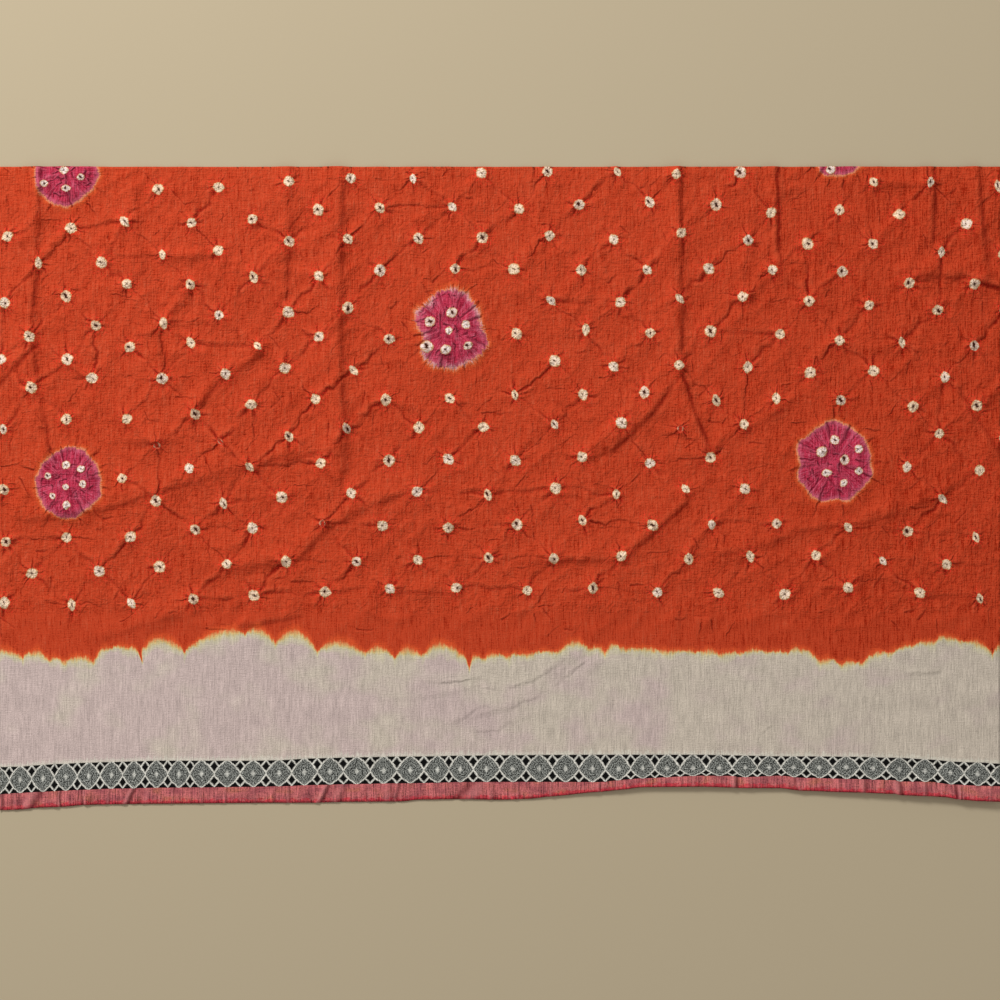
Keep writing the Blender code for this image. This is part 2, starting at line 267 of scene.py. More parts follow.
def route_offset(along, down, route):
    """Distance from a route of straight stretches, and whether a point is on its shade side."""
    nearest = np.full(along.shape, np.inf)
    below = np.zeros(along.shape, dtype=bool)
    for start, end in zip(route, route[1:]):
        run_along = end[0] - start[0]
        run_down = end[1] - start[1]
        share = (along - start[0]) * run_along + (down - start[1]) * run_down
        share = np.clip(share / (run_along ** 2 + run_down ** 2), 0, 1)
        away_along = along - start[0] - share * run_along
        away_down = down - start[1] - share * run_down
        distance = np.hypot(away_along, away_down)
        closer = distance < nearest
        below = np.where(closer, run_along * (down - start[1]) - run_down * (along - start[0]) < 0, below)
        nearest = np.where(closer, distance, nearest)
    return nearest, below


def fold_rise(along, down):
    """Bells along the main folds, long on the lit side and steep on the shade side, as a root of squares."""
    total = np.zeros_like(along)
    for name, height, upper_half, lower_half, sharpness, route in FOLDS:
        distance, below = route_offset(along, down, route)
        steep = lower_half * (0.85 - 0.4 * sharpness)
        bell = np.exp(-(distance / np.where(below, steep, upper_half)) ** 2)
        share = PALE_FOLD_SHARE if "pale" in name else FOLD_SHARE
        total += (share * height * bell) ** 2
    return np.sqrt(total)


def uneven(across, along_run, across_grain, along_grain, chance):
    """Smooth chance heights from -1 to 1: a lattice of random values, eased between its points."""
    u = (across - across.min()) / across_grain
    v = (along_run - along_run.min()) / along_grain
    lattice = chance.uniform(-1, 1, (int(u.max()) + 2, int(v.max()) + 2))
    i = u.astype(int)
    j = v.astype(int)
    s = u - i
    t = v - j
    s = s * s * (3 - 2 * s)
    t = t * t * (3 - 2 * t)
    near = lattice[i, j] * (1 - t) + lattice[i, j + 1] * t
    far = lattice[i + 1, j] * (1 - t) + lattice[i + 1, j + 1] * t
    return near * (1 - s) + far * s


def crumple_rise(along, down, chance):
    """Unevenness of the field: soft swells, and sharp-topped pleats where a chance height crosses zero."""
    swell = uneven(along, down, 34.0, 40.0, chance) * 0.3 + uneven(along, down, 15.0, 22.0, chance) * 0.4
    bend = uneven(along, down, 22.0, 22.0, chance) * 5.0
    rising = (along + down) * np.sqrt(0.5)
    falling = (along - down) * np.sqrt(0.5)
    upright = np.abs(uneven(along + bend, down, 9.0, 26.0, chance))
    slant = np.abs(uneven(rising + bend, falling, 9.0, 24.0, chance))
    level = np.abs(uneven(down + bend, along, 9.0, 22.0, chance))
    fine = np.abs(uneven(along + 0.4 * bend, down, 4.5, 8.0, chance))
    slight = np.abs(uneven(rising - 0.4 * bend, falling, 4.5, 9.0, chance))
    pleats = 0.62 * (1 - upright) ** 3 + 0.8 * (1 - slant) ** 3 + 0.45 * (1 - level) ** 3
    return swell + pleats + 0.36 * (1 - fine) ** 3 + 0.36 * (1 - slight) ** 3


def link_rise(along, down, chance):
    """Soft ridges and troughs from tie to tie: bells across the line between them, faded at its ends."""
    total = np.zeros_like(along)
    for first in range(len(field_tie_places)):
        away = field_tie_places - field_tie_places[first]
        distance = np.hypot(away[:, 0], away[:, 1])
        for second in np.nonzero((distance > 14) & (distance < 29) & (away[:, 0] > 0))[0]:
            middle = field_tie_places[first] + away[second] / 2
            run_along, run_down = away[second] / distance[second]
            reach = distance[second] / 2 + 4
            row = slice(*np.searchsorted(down[:, 0], (middle[1] - reach, middle[1] + reach)))
            column = slice(*np.searchsorted(along[0], (middle[0] - reach, middle[0] + reach)))
            part_along = along[row, column] - middle[0]
            part_down = down[row, column] - middle[1]
            run = part_along * run_along + part_down * run_down
            side = part_along * run_down - part_down * run_along + chance.uniform(-1, 1)
            over = np.maximum(np.abs(run) - distance[second] / 2 + 4, 0)
            height = chance.normal(0.1, 0.5)
            total[row, column] += height * np.exp(-(side / chance.uniform(1.8, 3.2)) ** 2 - (over / 3) ** 2)
    return total


def tie_rise(along, down, chance):
    """Each tie: a small peak with a pit where the thread was, on a wider and lower rise."""
    total = np.zeros_like(along)
    for (tie_along, tie_down), gathered in zip(ties, in_roundel):
        near = np.nonzero((np.abs(along - tie_along) < 15) & (np.abs(down - tie_down) < 15))
        distance = np.hypot(along[near] - tie_along, down[near] - tie_down)
        peak = chance.uniform(1.0, 1.7) * (0.8 if gathered else 1.0)
        shape = peak * np.exp(-(distance / 2.7) ** 3) + 0.5 * np.exp(-distance / 4.5)
        shape -= 0.75 * peak * np.exp(-(distance / 1.2) ** 2)
        total[near] += shape
    return total


# Headings of the short creases round a tie: turn from the right, clockwise from above; how often; longest
SPIKES = (
    (0.0, 0.75, 8.0), (0.125, 0.55, 6.0), (0.25, 0.75, 9.0), (0.375, 0.80, 7.0), (0.06, 0.3, 4.5),
    (0.5, 0.70, 8.0), (0.625, 0.55, 6.0), (0.75, 0.80, 9.0), (0.875, 0.80, 7.0), (0.56, 0.3, 4.5),
)
TIE_EDGE = 2.3


def line_rows(start, end, half_width, rise, first, last):
    """Straight creases as rows: start, end, half width, rise, and their strength at the two ends."""
    count = len(start)
    columns = [np.broadcast_to(value, count) for value in (half_width, rise, first, last)]
    return np.column_stack((start, end, *columns))


def tie_spikes(chance):
    """Short creases that run out from each tie, mostly with the threads or towards its neighbours."""
    rows = []
    count = len(field_tie_places)
    for heading, often, longest in SPIKES:
        here = chance.random(count) < often
        turn = 2 * np.pi * heading + chance.normal(0, 0.2, count)
        out = np.column_stack((np.cos(turn), np.sin(turn)))
        length = chance.uniform(0.35, 1.0, count) * longest
        start = field_tie_places + out * (TIE_EDGE * 0.9)
        end = start + out * length[:, None] + chance.normal(0, 0.35, (count, 2))
        strength = chance.uniform(0.55, 1.1, count)
        half_width = 0.28 + 0.6 * chance.random(count) ** 1.5
        rows.append(line_rows(start, end, half_width, 0.8, strength, 0.05)[here])
    return np.vstack(rows)


def jagged(start, end, chance, half_width, rise, strengths, stray):
    """A crease of four straight stretches whose inner points stray to either side."""
    run = end - start
    side = np.array((-run[1], run[0])) / np.hypot(*run)
    shares = np.array((0.0, 0.24, 0.5, 0.76, 1.0))
    shares[1:4] += chance.uniform(-0.08, 0.08, 3)
    points = start + shares[:, None] * run
    points[1:4] += chance.uniform(-stray, stray, (3, 1)) * side
    return line_rows(points[:-1], points[1:], half_width, rise, strengths[:-1], strengths[1:])


def neighbour_links(chance):
    """Creases that join neighbouring ties: most rise to the right, some fall, and low down more are level."""
    rows = []
    for first in range(len(field_tie_places)):
        away = field_tie_places - field_tie_places[first]
        distance = np.hypot(away[:, 0], away[:, 1])
        low = field_tie_places[first, 1] > 150
        for second in np.nonzero((distance > 14) & (distance < 37) & (away[:, 0] > 0))[0]:
            slope = away[second, 1] / away[second, 0]
            if slope < -0.4 and distance[second] < 29:
                likely, strong = 0.85, 1.05
            elif slope > 0.4 and distance[second] < 29:
                likely, strong = 0.68, 0.8
            elif abs(slope) < 0.25 and distance[second] > 26:
                likely, strong = (0.4, 0.8) if low else (0.2, 0.65)
            else:
                continue
            if chance.random() > likely:
                continue
            run = away[second] / distance[second]
            start = field_tie_places[first] + TIE_EDGE * run
            end = field_tie_places[second] - TIE_EDGE * run
            strong *= chance.uniform(0.45, 1.05)
            left, right = chance.uniform(0.35, 1.2, 2)
            middle = chance.uniform(0.0, 0.7)
            inner = chance.uniform(0.3, 0.9, 2)
            strengths = strong * np.array((left, left * inner[0], middle, right * inner[1], right))
            half_width = chance.uniform(0.4, 1.05)
            rows.append(jagged(start, end, chance, half_width, chance.uniform(0.7, 1.2), strengths, 1.7))
    return np.vstack(rows)


def roundel_pleats(chance):
    """Pleats that run across each roundel's rim, inside it and outside it."""
    rows = []
    rings = ((17, 0.3, 0.7, 0.9, 1.08), (15, 1.0, 1.1, 1.2, 1.7))
    for centre_along, centre_down, half_width, half_height in ROUNDELS[:, :4]:
        centre = np.array((centre_along, centre_down))
        halves = np.array((half_width, half_height))
        for count, from_low, from_high, to_low, to_high in rings:
            turn = (np.arange(count) + chance.uniform(-0.35, 0.35, count)) * 2 * np.pi / count
            out = np.column_stack((np.cos(turn), np.sin(turn))) * halves
            start = centre + out * chance.uniform(from_low, from_high, count)[:, None]
            end = centre + out * chance.uniform(to_low, to_high, count)[:, None]
            inside = to_high < 1.2
            strength = chance.uniform(0.2, 0.75, count)
            first, last = (0.7 * strength, strength) if inside else (strength, 0.1 * strength)
            rows.append(line_rows(start, end, chance.uniform(0.3, 0.7, count), 0.7, first, last))
        turn = chance.uniform(0, 2 * np.pi, 26)
        out = np.column_stack((np.cos(turn), np.sin(turn))) * halves
        middle = centre + out * chance.uniform(0.1, 0.8, (26, 1))
        heading = chance.uniform(0, np.pi, 26)
        half_run = np.column_stack((np.cos(heading), np.sin(heading))) * chance.uniform(0.8, 2.2, (26, 1))
        rows.append(line_rows(middle - half_run, middle + half_run, 0.4, 0.6, 0.75, 0.35))
    return np.vstack(rows)


CRINKLES = 900
CRINKLE_TURNS = (0.0, 0.0, 0.5, 0.5, -0.25, -0.25, 0.3)


def small_crinkles(chance):
    """Short faint creases all over the dyed field, with the threads or rising to the right."""
    middle = chance.uniform((0, 0), (LENGTH, FIELD_DEPTH), (CRINKLES, 2))
    heading = chance.choice(np.array(CRINKLE_TURNS) * np.pi, CRINKLES)
    heading = heading + chance.normal(0, 0.12, CRINKLES)
    half_run = np.column_stack((np.cos(heading), np.sin(heading))) * chance.uniform(1.2, 5.0, (CRINKLES, 1))
    strength = chance.uniform(0.05, 0.7, CRINKLES) ** 1.3
    half_width = chance.uniform(0.3, 0.55, CRINKLES)
    return line_rows(middle - half_run, middle + half_run, half_width, 0.5, strength, strength * 0.6)


def fold_lines(chance):
    """The line on the shade side of each main fold, a crease whose groove is painted with shade, in pieces
    that stray a little and fade in and out.
    """
    rows = []
    for name, height, upper_half, lower_half, sharpness, route in FOLDS:
        points = np.array(route, dtype=float)
        run = np.diff(points, axis=0)
        shade = np.column_stack((run[:, 1], -run[:, 0])) / np.hypot(run[:, 0], run[:, 1])[:, None]
        for start, stretch, out in zip(points, run, shade):
            pieces = int(np.hypot(*stretch) / 12) + 1
            place = start + stretch * np.linspace(0, 1, pieces + 1)[:, None] + 0.5 * lower_half * out
            place += out * chance.normal(0, 0.45, (pieces + 1, 1))
            strength = sharpness * (0.35 if "pale" in name else 0.9) * chance.uniform(0.2, 1.0, pieces + 1)
            rows.append(line_rows(place[:-1], place[1:], 1.2, 0.3, strength[:-1], strength[1:]))
    return np.vstack(rows)


# Soft lines in the undyed band, low creases with painted shade in their grooves, end to end: along and down
# of the two ends, half width, strength
PALE_LINES = np.array((
    (214.6, 258.0, 220.8, 258.4, 0.8, 0.25), (220.8, 258.4, 234.6, 256.9, 0.6, 0.45),
    (234.6, 256.9, 240.0, 256.1, 0.9, 0.2), (240.0, 260.7, 247.7, 261.5, 0.7, 0.25),
    (255.4, 260.7, 266.9, 257.3, 0.9, 0.35), (266.9, 257.3, 273.1, 253.4, 0.9, 0.35),
    (273.1, 253.4, 282.3, 246.9, 1.0, 0.3), (278.5, 259.2, 285.4, 253.4, 1.0, 0.2),
    (285.4, 253.4, 292.3, 248.4, 0.9, 0.4), (226.9, 278.4, 231.5, 276.5, 1.2, 0.25),
    (231.5, 276.5, 237.7, 271.5, 0.8, 0.4), (237.7, 271.5, 243.8, 269.6, 1.2, 0.2),
    (239.2, 275.0, 255.4, 271.1, 1.4, 0.25), (255.4, 271.1, 262.3, 267.3, 1.0, 0.35),
    (262.3, 267.3, 268.5, 265.8, 0.8, 0.3), (238.5, 282.3, 249.2, 282.3, 0.6, 0.3),
    (249.2, 282.3, 255.4, 277.7, 1.0, 0.25), (200.0, 266.9, 213.0, 265.7, 1.6, 0.15),
    (213.0, 265.7, 230.0, 262.7, 1.6, 0.2), (230.0, 262.7, 239.2, 260.3, 1.4, 0.15),
    (454.0, 254.2, 461.0, 254.0, 1.0, 0.3), (461.0, 254.0, 469.5, 253.2, 0.9, 0.35),
    (96.2, 265.9, 103.5, 265.4, 0.6, 0.15), (98.0, 270.0, 104.0, 270.0, 0.5, 0.12),
    (378.9, 286.0, 381.1, 283.3, 0.6, 0.2), (381.1, 283.3, 385.8, 279.8, 0.6, 0.25),
    (495.8, 241.4, 496.3, 242.8, 0.7, 0.9),
))


def tuck_lines():
    """Tucks from the border's lower line to the outer edge."""
    rows = []
    for place, half_width, depth, lean in TUCKS:
        top = float(edge_line(STRIP_TOP, np.array(place)))
        low = float(edge_line(OUTER_EDGE, np.array(place))) + 0.5
        start = np.array(((place, top),))
        end = np.array(((place + lean * (low - top), low),))
        rows.append(line_rows(start, end, half_width, 0.7, depth * 0.8, depth))
    return np.vstack(rows)


line_chance = np.random.default_rng(41)
CREASE_LINES = np.vstack((
    fold_lines(line_chance), neighbour_links(line_chance), tie_spikes(line_chance),
    roundel_pleats(line_chance), small_crinkles(line_chance), tuck_lines(),
    line_rows(
        PALE_LINES[:, :2], PALE_LINES[:, 2:4], PALE_LINES[:, 4], 0.25, PALE_LINES[:, 5], PALE_LINES[:, 5],
    ),
))
CREASE_MIDDLE = (CREASE_LINES[:, :2] + CREASE_LINES[:, 2:4]) / 2
CREASE_RUN = CREASE_LINES[:, 2:4] - CREASE_LINES[:, :2]
CREASE_HALF = np.maximum(np.hypot(CREASE_RUN[:, 0], CREASE_RUN[:, 1]) / 2, 0.1)
CREASE_RUN = CREASE_RUN / (2 * CREASE_HALF[:, None])
CREASE_SIDE = np.column_stack((CREASE_RUN[:, 1], -CREASE_RUN[:, 0]))
lit_side = np.where(CREASE_SIDE.sum(axis=1) > 0, -1.0, 1.0)
lit_side *= np.where(line_chance.random(len(CREASE_LINES)) < 0.22, -1.0, 1.0)
CREASE_SIDE = CREASE_SIDE * lit_side[:, None]


def lay_creases(along, down):
    """Relief of every crease, a lip beside a groove, and the two creases that show most on each face."""
    relief = np.zeros_like(along)
    face_along = (along[:-1, :-1] + along[1:, 1:]) / 2
    face_down = (down[:-1, :-1] + down[1:, :-1] + down[:-1, 1:] + down[1:, 1:]) / 4
    shown = np.full((2, *face_along.shape), -1)
    value = np.full((2, *face_along.shape), 0.02)
    highest = down.min(axis=1)
    lowest = down.max(axis=1)
    cell = LENGTH / COLUMNS
    for index, line in enumerate(CREASE_LINES):
        start_along, start_down, end_along, end_down, half, rise, first, last = line
        margin = 4.5
        top_row = np.searchsorted(lowest, min(start_down, end_down) - margin)
        end_row = np.searchsorted(highest, max(start_down, end_down) + margin)
        left = max(int((min(start_along, end_along) - margin) / cell), 0)
        right = min(int((max(start_along, end_along) + margin) / cell) + 2, COLUMNS + 1)
        if top_row >= end_row - 1 or left >= right - 1:
            continue
        for target, place_along, place_down in (("points", along, down), ("faces", face_along, face_down)):
            less = 0 if target == "points" else 1
            window = (slice(top_row, end_row - less), slice(left, right - less))
            away_along = place_along[window] - CREASE_MIDDLE[index, 0]
            away_down = place_down[window] - CREASE_MIDDLE[index, 1]
            run = away_along * CREASE_RUN[index, 0] + away_down * CREASE_RUN[index, 1]
            side = away_along * CREASE_SIDE[index, 0] + away_down * CREASE_SIDE[index, 1]
            over = np.maximum(np.abs(run) - CREASE_HALF[index], 0)
            share = np.clip(0.5 + run / (2 * CREASE_HALF[index]), 0, 1)
            strength = first + (last - first) * share
            if target == "points":
                lip = 0.9 * np.exp(-((side - 1.5) / 1.5) ** 2)
                groove = 0.75 * np.exp(-(side / max(half * 1.3, 1.0)) ** 2)
                relief[window] += rise * strength * np.exp(-(over / 1.2) ** 2) * (lip - groove)
                continue
            strong = strength * np.exp(-(over ** 2 + side ** 2) / (1.5 * half + 0.4) ** 2)
            best = value[0][window]
            second = value[1][window]
            wins = strong > best
            follows = (strong > second) & ~wins
            shown[1][window] = np.where(wins, shown[0][window], np.where(follows, index, shown[1][window]))
            value[1][window] = np.where(wins, best, np.where(follows, strong, second))
            shown[0][window] = np.where(wins, index, shown[0][window])
            value[0][window] = np.where(wins, strong, best)
    return np.clip(relief, -1.2, 2.2), shown


def cloth_rise(along, down, crease_relief):
    """Height of the cloth's upper face: folds, waves, creases, ties and the lifted edge, above its slack."""
    chance = np.random.default_rng(23)
    in_field = 1 / (1 + np.exp((down - 236.0) / 5.0))
    waves = np.sin(2 * np.pi * (along + 0.35 * down) / 61.0)
    waves = waves + np.sin(2 * np.pi * (down - 0.35 * along) / 47.0)
    rise = fold_rise(along, down) + 0.12 * waves * in_field + link_rise(along, down, chance)
    rise += crumple_rise(along, down, chance) * (0.12 + 0.88 * in_field)
    rise += tie_rise(along, down, chance)
    rise += 1.2 * np.exp(-(roundel_reach(along, down) ** 4)).sum(axis=-1)
    from_edge = edge_line(OUTER_EDGE, along) - down
    rise += edge_line(EDGE_LIFT, along) * np.exp(-(from_edge / 9.0) ** 2)
    slack = rise - 0.45
    return CLOTH_THICKNESS + np.maximum(0.5 * (slack + np.sqrt(slack ** 2 + 0.3)) + crease_relief, 0)


crease_relief, shown_creases = lay_creases(along, down)
top = cloth_rise(along, down, crease_relief)


def underside(top):
    """Every third point, a thickness below the upper face, let down wherever it would come through."""
    step = UNDERSIDE_STEP
    rows = np.arange(0, top.shape[0], step)
    columns = np.arange(0, top.shape[1], step)
    lower = top[np.ix_(rows, columns)] - CLOTH_THICKNESS
    fine_rows = np.arange(top.shape[0]) / step
    fine_columns = np.arange(top.shape[1]) / step
    r = np.minimum(fine_rows.astype(int), len(rows) - 2)
    c = np.minimum(fine_columns.astype(int), len(columns) - 2)
    u = (fine_rows - r)[:, None]
    v = (fine_columns - c)[None, :]
    for _ in range(6):
        between = (
            lower[np.ix_(r, c)] * (1 - u) * (1 - v) + lower[np.ix_(r + 1, c)] * u * (1 - v)
            + lower[np.ix_(r, c + 1)] * (1 - u) * v + lower[np.ix_(r + 1, c + 1)] * u * v
        )
        through = np.maximum(between - (top - 0.5 * CLOTH_THICKNESS), 0)
        padded = np.pad(through, step, mode="edge")
        drop = np.zeros_like(lower)
        for row_shift in range(2 * step + 1):
            for column_shift in range(2 * step + 1):
                window = padded[row_shift:row_shift + top.shape[0], column_shift:column_shift + top.shape[1]]
                drop = np.maximum(drop, window[np.ix_(rows, columns)])
        lower = lower - drop
    return np.maximum(lower, 0.0)


bottom = underside(top)


def sheet_mesh(name):
    """A closed sheet: fine upper face, coarser underside, and a rim of fans between their edges."""
    step = UNDERSIDE_STEP
    rows, columns = top.shape
    low_rows, low_columns = bottom.shape
    upper = np.column_stack((along.ravel(), down.ravel(), top.ravel()))
    lower = np.column_stack((along[::step, ::step].ravel(), down[::step, ::step].ravel(), bottom.ravel()))
    points = np.vstack((upper, lower))
    place = np.column_stack((points[:, 0] - LENGTH / 2, DEPTH / 2 - points[:, 1], points[:, 2])) * MM
    index = np.arange(rows * columns).reshape(rows, columns)
    low = np.arange(low_rows * low_columns).reshape(low_rows, low_columns) + rows * columns
    quads = np.stack((index[:-1, :-1], index[1:, :-1], index[1:, 1:], index[:-1, 1:]), axis=-1).reshape(-1, 4)
    under = np.stack((low[:-1, :-1], low[:-1, 1:], low[1:, 1:], low[1:, :-1]), axis=-1).reshape(-1, 4)
    rims = []
    sides = (
        (index[0, ::-1], low[0, ::-1]), (index[:, 0], low[:, 0]),
        (index[-1, :], low[-1, :]), (index[::-1, -1], low[::-1, -1]),
    )
    for fine, coarse in sides:
        for part in range(step):
            rims.append(np.column_stack((fine[part + 1::step], fine[part:-1:step], coarse[:-1])))
        rims.append(np.column_stack((coarse[1:], fine[step::step], coarse[:-1])))
    rims = np.vstack(rims)
    mesh = bpy.data.meshes.new(name)
    loops = np.concatenate((quads.ravel(), under.ravel(), rims.ravel()))
    sizes = np.concatenate((np.full(len(quads) + len(under), 4), np.full(len(rims), 3)))
    mesh.vertices.add(len(place))
    mesh.vertices.foreach_set("co", place.ravel())
    mesh.loops.add(len(loops))
    mesh.loops.foreach_set("vertex_index", loops)
    mesh.polygons.add(len(sizes))
    mesh.polygons.foreach_set("loop_start", np.concatenate(((0,), np.cumsum(sizes)[:-1])))
    mesh.polygons.foreach_set("use_smooth", np.ones(len(sizes), dtype=bool))
    mesh.update(calc_edges=True)
    mesh.validate()
    return mesh, points, loops, sizes


mesh, points, loops, sizes = sheet_mesh("bandhani_sheet")
cloth = bpy.data.objects.new("bandhani_sheet", mesh)
bpy.context.scene.collection.objects.link(cloth)

face_of_loop = np.repeat(np.arange(len(sizes)), sizes)
starts = np.concatenate(((0,), np.cumsum(sizes)[:-1]))
loop_along = points[loops, 0]
loop_down = points[loops, 1]
face_along = np.add.reduceat(loop_along, starts) / sizes
face_down = np.add.reduceat(loop_down, starts) / sizes


def nearest_tie(face_along, face_down):
    """The tie nearest to each face, found a block of faces at a time."""
    found = np.empty(len(face_along), dtype=int)
    for block in np.array_split(np.arange(len(face_along)), 40):
        away = np.hypot(face_along[block, None] - ties[:, 0], face_down[block, None] - ties[:, 1])
        found[block] = np.argmin(away, axis=1)
    return found


def corner_map(name, across, up):
    """Two numbers at each corner of each face, kept as a UV map."""
    layer = mesh.uv_layers.new(name=name)
    layer.data.foreach_set("uv", np.column_stack((across, up)).astype(np.float32).ravel())


def face_fact(name, *values):
    """Three numbers for each face."""
    layer = mesh.attributes.new(name, "FLOAT_VECTOR", "FACE")
    layer.data.foreach_set("vector", np.column_stack(values).astype(np.float32).ravel())


def point_fact(name, values):
    """One number for each point."""
    layer = mesh.attributes.new(name, "FLOAT", "POINT")
    layer.data.foreach_set("value", values.astype(np.float32))


tie_of_face = nearest_tie(face_along, face_down)
tie_of_loop = tie_of_face[face_of_loop]
corner_map("tie_offset", loop_along - ties[tie_of_loop, 0], ties[tie_of_loop, 1] - loop_down)

tie_chance = np.random.default_rng(5)
tie_half_width = tie_chance.uniform(2.4, 3.15, len(ties))
tie_half_height = tie_chance.uniform(2.5, 3.3, len(ties))
tie_half_width[tie_chance.random(len(ties)) < 0.2] *= 0.72
tie_half_width[in_roundel] = ROUNDEL_TIES[:, 2] * tie_chance.uniform(0.85, 1.2, len(ROUNDEL_TIES))
tie_half_height[in_roundel] = ROUNDEL_TIES[:, 2] * tie_chance.uniform(0.8, 1.1, len(ROUNDEL_TIES))
tie_turn = tie_chance.uniform(-0.2, 0.9, len(ties))
opening = 0.07 + 0.17 * tie_chance.random(len(ties)) ** 2.0
seed = tie_chance.random(len(ties))
whiteness = np.where(in_roundel, 1.0, tie_chance.uniform(0.1, 0.7, len(ties)))
faded = (tie_chance.random(len(ties)) < 0.012) & ~in_roundel
whiteness[faded] = -1.0
opening[faded] = 0.5
tie_half_width[faded] *= 0.6
tie_half_height[faded] *= 0.6
face_fact("tie_shape", *(value[tie_of_face] for value in (tie_half_width, tie_half_height, tie_turn)))
face_fact("tie_look", *(value[tie_of_face] for value in (opening, seed, whiteness)))


def rim_distance(along, down):
    """Millimetres outside the nearest roundel's outline, a smooth closed curve through its reaches."""
    nearest = np.argmin(roundel_reach(along, down), axis=-1)
    away_along = along - ROUNDELS[nearest, 0]
    away_down = down - ROUNDELS[nearest, 1]
    turn = np.arctan2(away_down, away_along) / (2 * np.pi) * 16 % 16
    place = np.floor(turn).astype(int)
    t = turn - place
    before, start, end, after = (ROUNDEL_OUTLINES[nearest, (place + step) % 16] for step in (-1, 0, 1, 2))
    curve = start + 0.5 * t * (end - before + t * (2 * before - 5 * start + 4 * end - after + t * (
        3 * (start - end) + after - before)))
    curve += 0.22 * np.sin(turn * 5.1 + nearest) + 0.15 * np.sin(turn * 9.3 + 2 * nearest)
    return np.hypot(away_along, away_down) - curve


point_fact("rim", rim_distance(points[:, 0], points[:, 1]))
point_fact("fray", ROUNDELS[np.argmin(roundel_reach(points[:, 0], points[:, 1]), axis=1), 4])
roundel_of_face = np.argmin(roundel_reach(face_along, face_down), axis=1)
roundel_of_loop = roundel_of_face[face_of_loop]
corner_map(
    "roundel_offset", (loop_along - ROUNDELS[roundel_of_loop, 0]) / ROUNDELS[roundel_of_loop, 2],
    (ROUNDELS[roundel_of_loop, 1] - loop_down) / ROUNDELS[roundel_of_loop, 3],
)

top_faces = shown_creases[0].size
for layer in range(2):
    crease = np.full(len(sizes), -1)
    crease[:top_faces] = shown_creases[layer].ravel()
    bare = crease < 0
    of_loop = crease[face_of_loop]
    away_along = loop_along - CREASE_MIDDLE[of_loop, 0]
    away_down = loop_down - CREASE_MIDDLE[of_loop, 1]
    run = away_along * CREASE_RUN[of_loop, 0] + away_down * CREASE_RUN[of_loop, 1]
    side = away_along * CREASE_SIDE[of_loop, 0] + away_down * CREASE_SIDE[of_loop, 1]
    corner_map(f"crease_{layer}", run, side)
    first, last = (np.where(bare, 0.0, CREASE_LINES[crease, column]) for column in (6, 7))
    face_fact(f"crease_{layer}_size", CREASE_HALF[crease], CREASE_LINES[crease, 4], first)
    face_fact(f"crease_{layer}_last", last, last, last)

# The dye line: along and down of the tops of its arches and of the cusps between them, by turns from a top
DYE_LINE = np.array((
    (0.0, 241.3), (11.5, 244.7), (18.5, 241.9), (24.5, 246.7), (27.5, 245.1), (32.0, 247.4), (41.0, 244.5),
    (47.1, 247.7), (51.8, 240.4), (55.0, 240.6), (60.0, 239.5), (63.5, 240.1), (66.0, 239.8), (69.9, 242.6),
    (79.0, 235.5), (92.3, 241.3), (116.0, 231.3), (122.5, 233.4), (127.5, 230.7), (137.8, 237.1),
    (146.8, 231.7), (158.7, 241.6), (168.0, 237.1), (182.7, 242.9), (189.0, 240.0), (197.5, 245.0),
    (203.2, 240.6), (211.4, 244.2), (219.3, 238.1), (234.6, 246.5), (238.0, 244.0), (241.5, 246.1),
    (246.0, 243.3), (254.5, 244.5), (258.0, 243.2), (264.5, 243.6), (270.0, 242.0), (279.0, 242.2),
    (287.8, 237.1), (294.5, 240.6), (299.0, 239.8), (302.5, 242.6), (306.4, 238.7), (311.5, 240.8),
    (319.0, 240.2), (333.0, 242.0), (341.0, 241.5), (351.0, 242.6), (355.0, 241.3), (360.0, 243.6),
    (366.0, 242.4), (371.0, 243.0), (377.0, 241.2), (385.0, 242.4), (389.5, 241.9), (394.2, 243.0),
    (398.0, 240.0), (400.5, 241.4), (403.0, 241.3), (409.5, 247.4), (414.5, 245.7), (420.5, 248.7),
    (424.0, 247.2), (431.0, 247.8), (440.0, 242.4), (445.0, 243.0), (454.5, 239.2), (456.0, 239.4),
    (462.0, 237.1), (467.3, 237.3), (470.5, 234.5), (480.0, 237.1), (485.3, 236.8), (496.2, 242.2),
    (501.0, 239.0),
))


def dye_distance(along, down):
    """How far below the dye line the cloth is, quarter sines from cusp to top, and its arch's height."""
    place = np.clip(np.searchsorted(DYE_LINE[:, 0], along, side="right") - 1, 0, len(DYE_LINE) - 2)
    start = DYE_LINE[place]
    end = DYE_LINE[place + 1]
    t = np.clip((along - start[:, 0]) / (end[:, 0] - start[:, 0]), 0, 1)
    share = np.where(place % 2 == 0, 1 - np.cos(np.pi * t / 2), np.sin(np.pi * t / 2))
    line = start[:, 1] + (end[:, 1] - start[:, 1]) * share
    return down - line, np.interp(along, DYE_LINE[1::2, 0], DYE_LINE[1::2, 1]) - line


dye, arch = dye_distance(points[:, 0], points[:, 1])
point_fact("dye", dye)
point_fact("arch", arch)

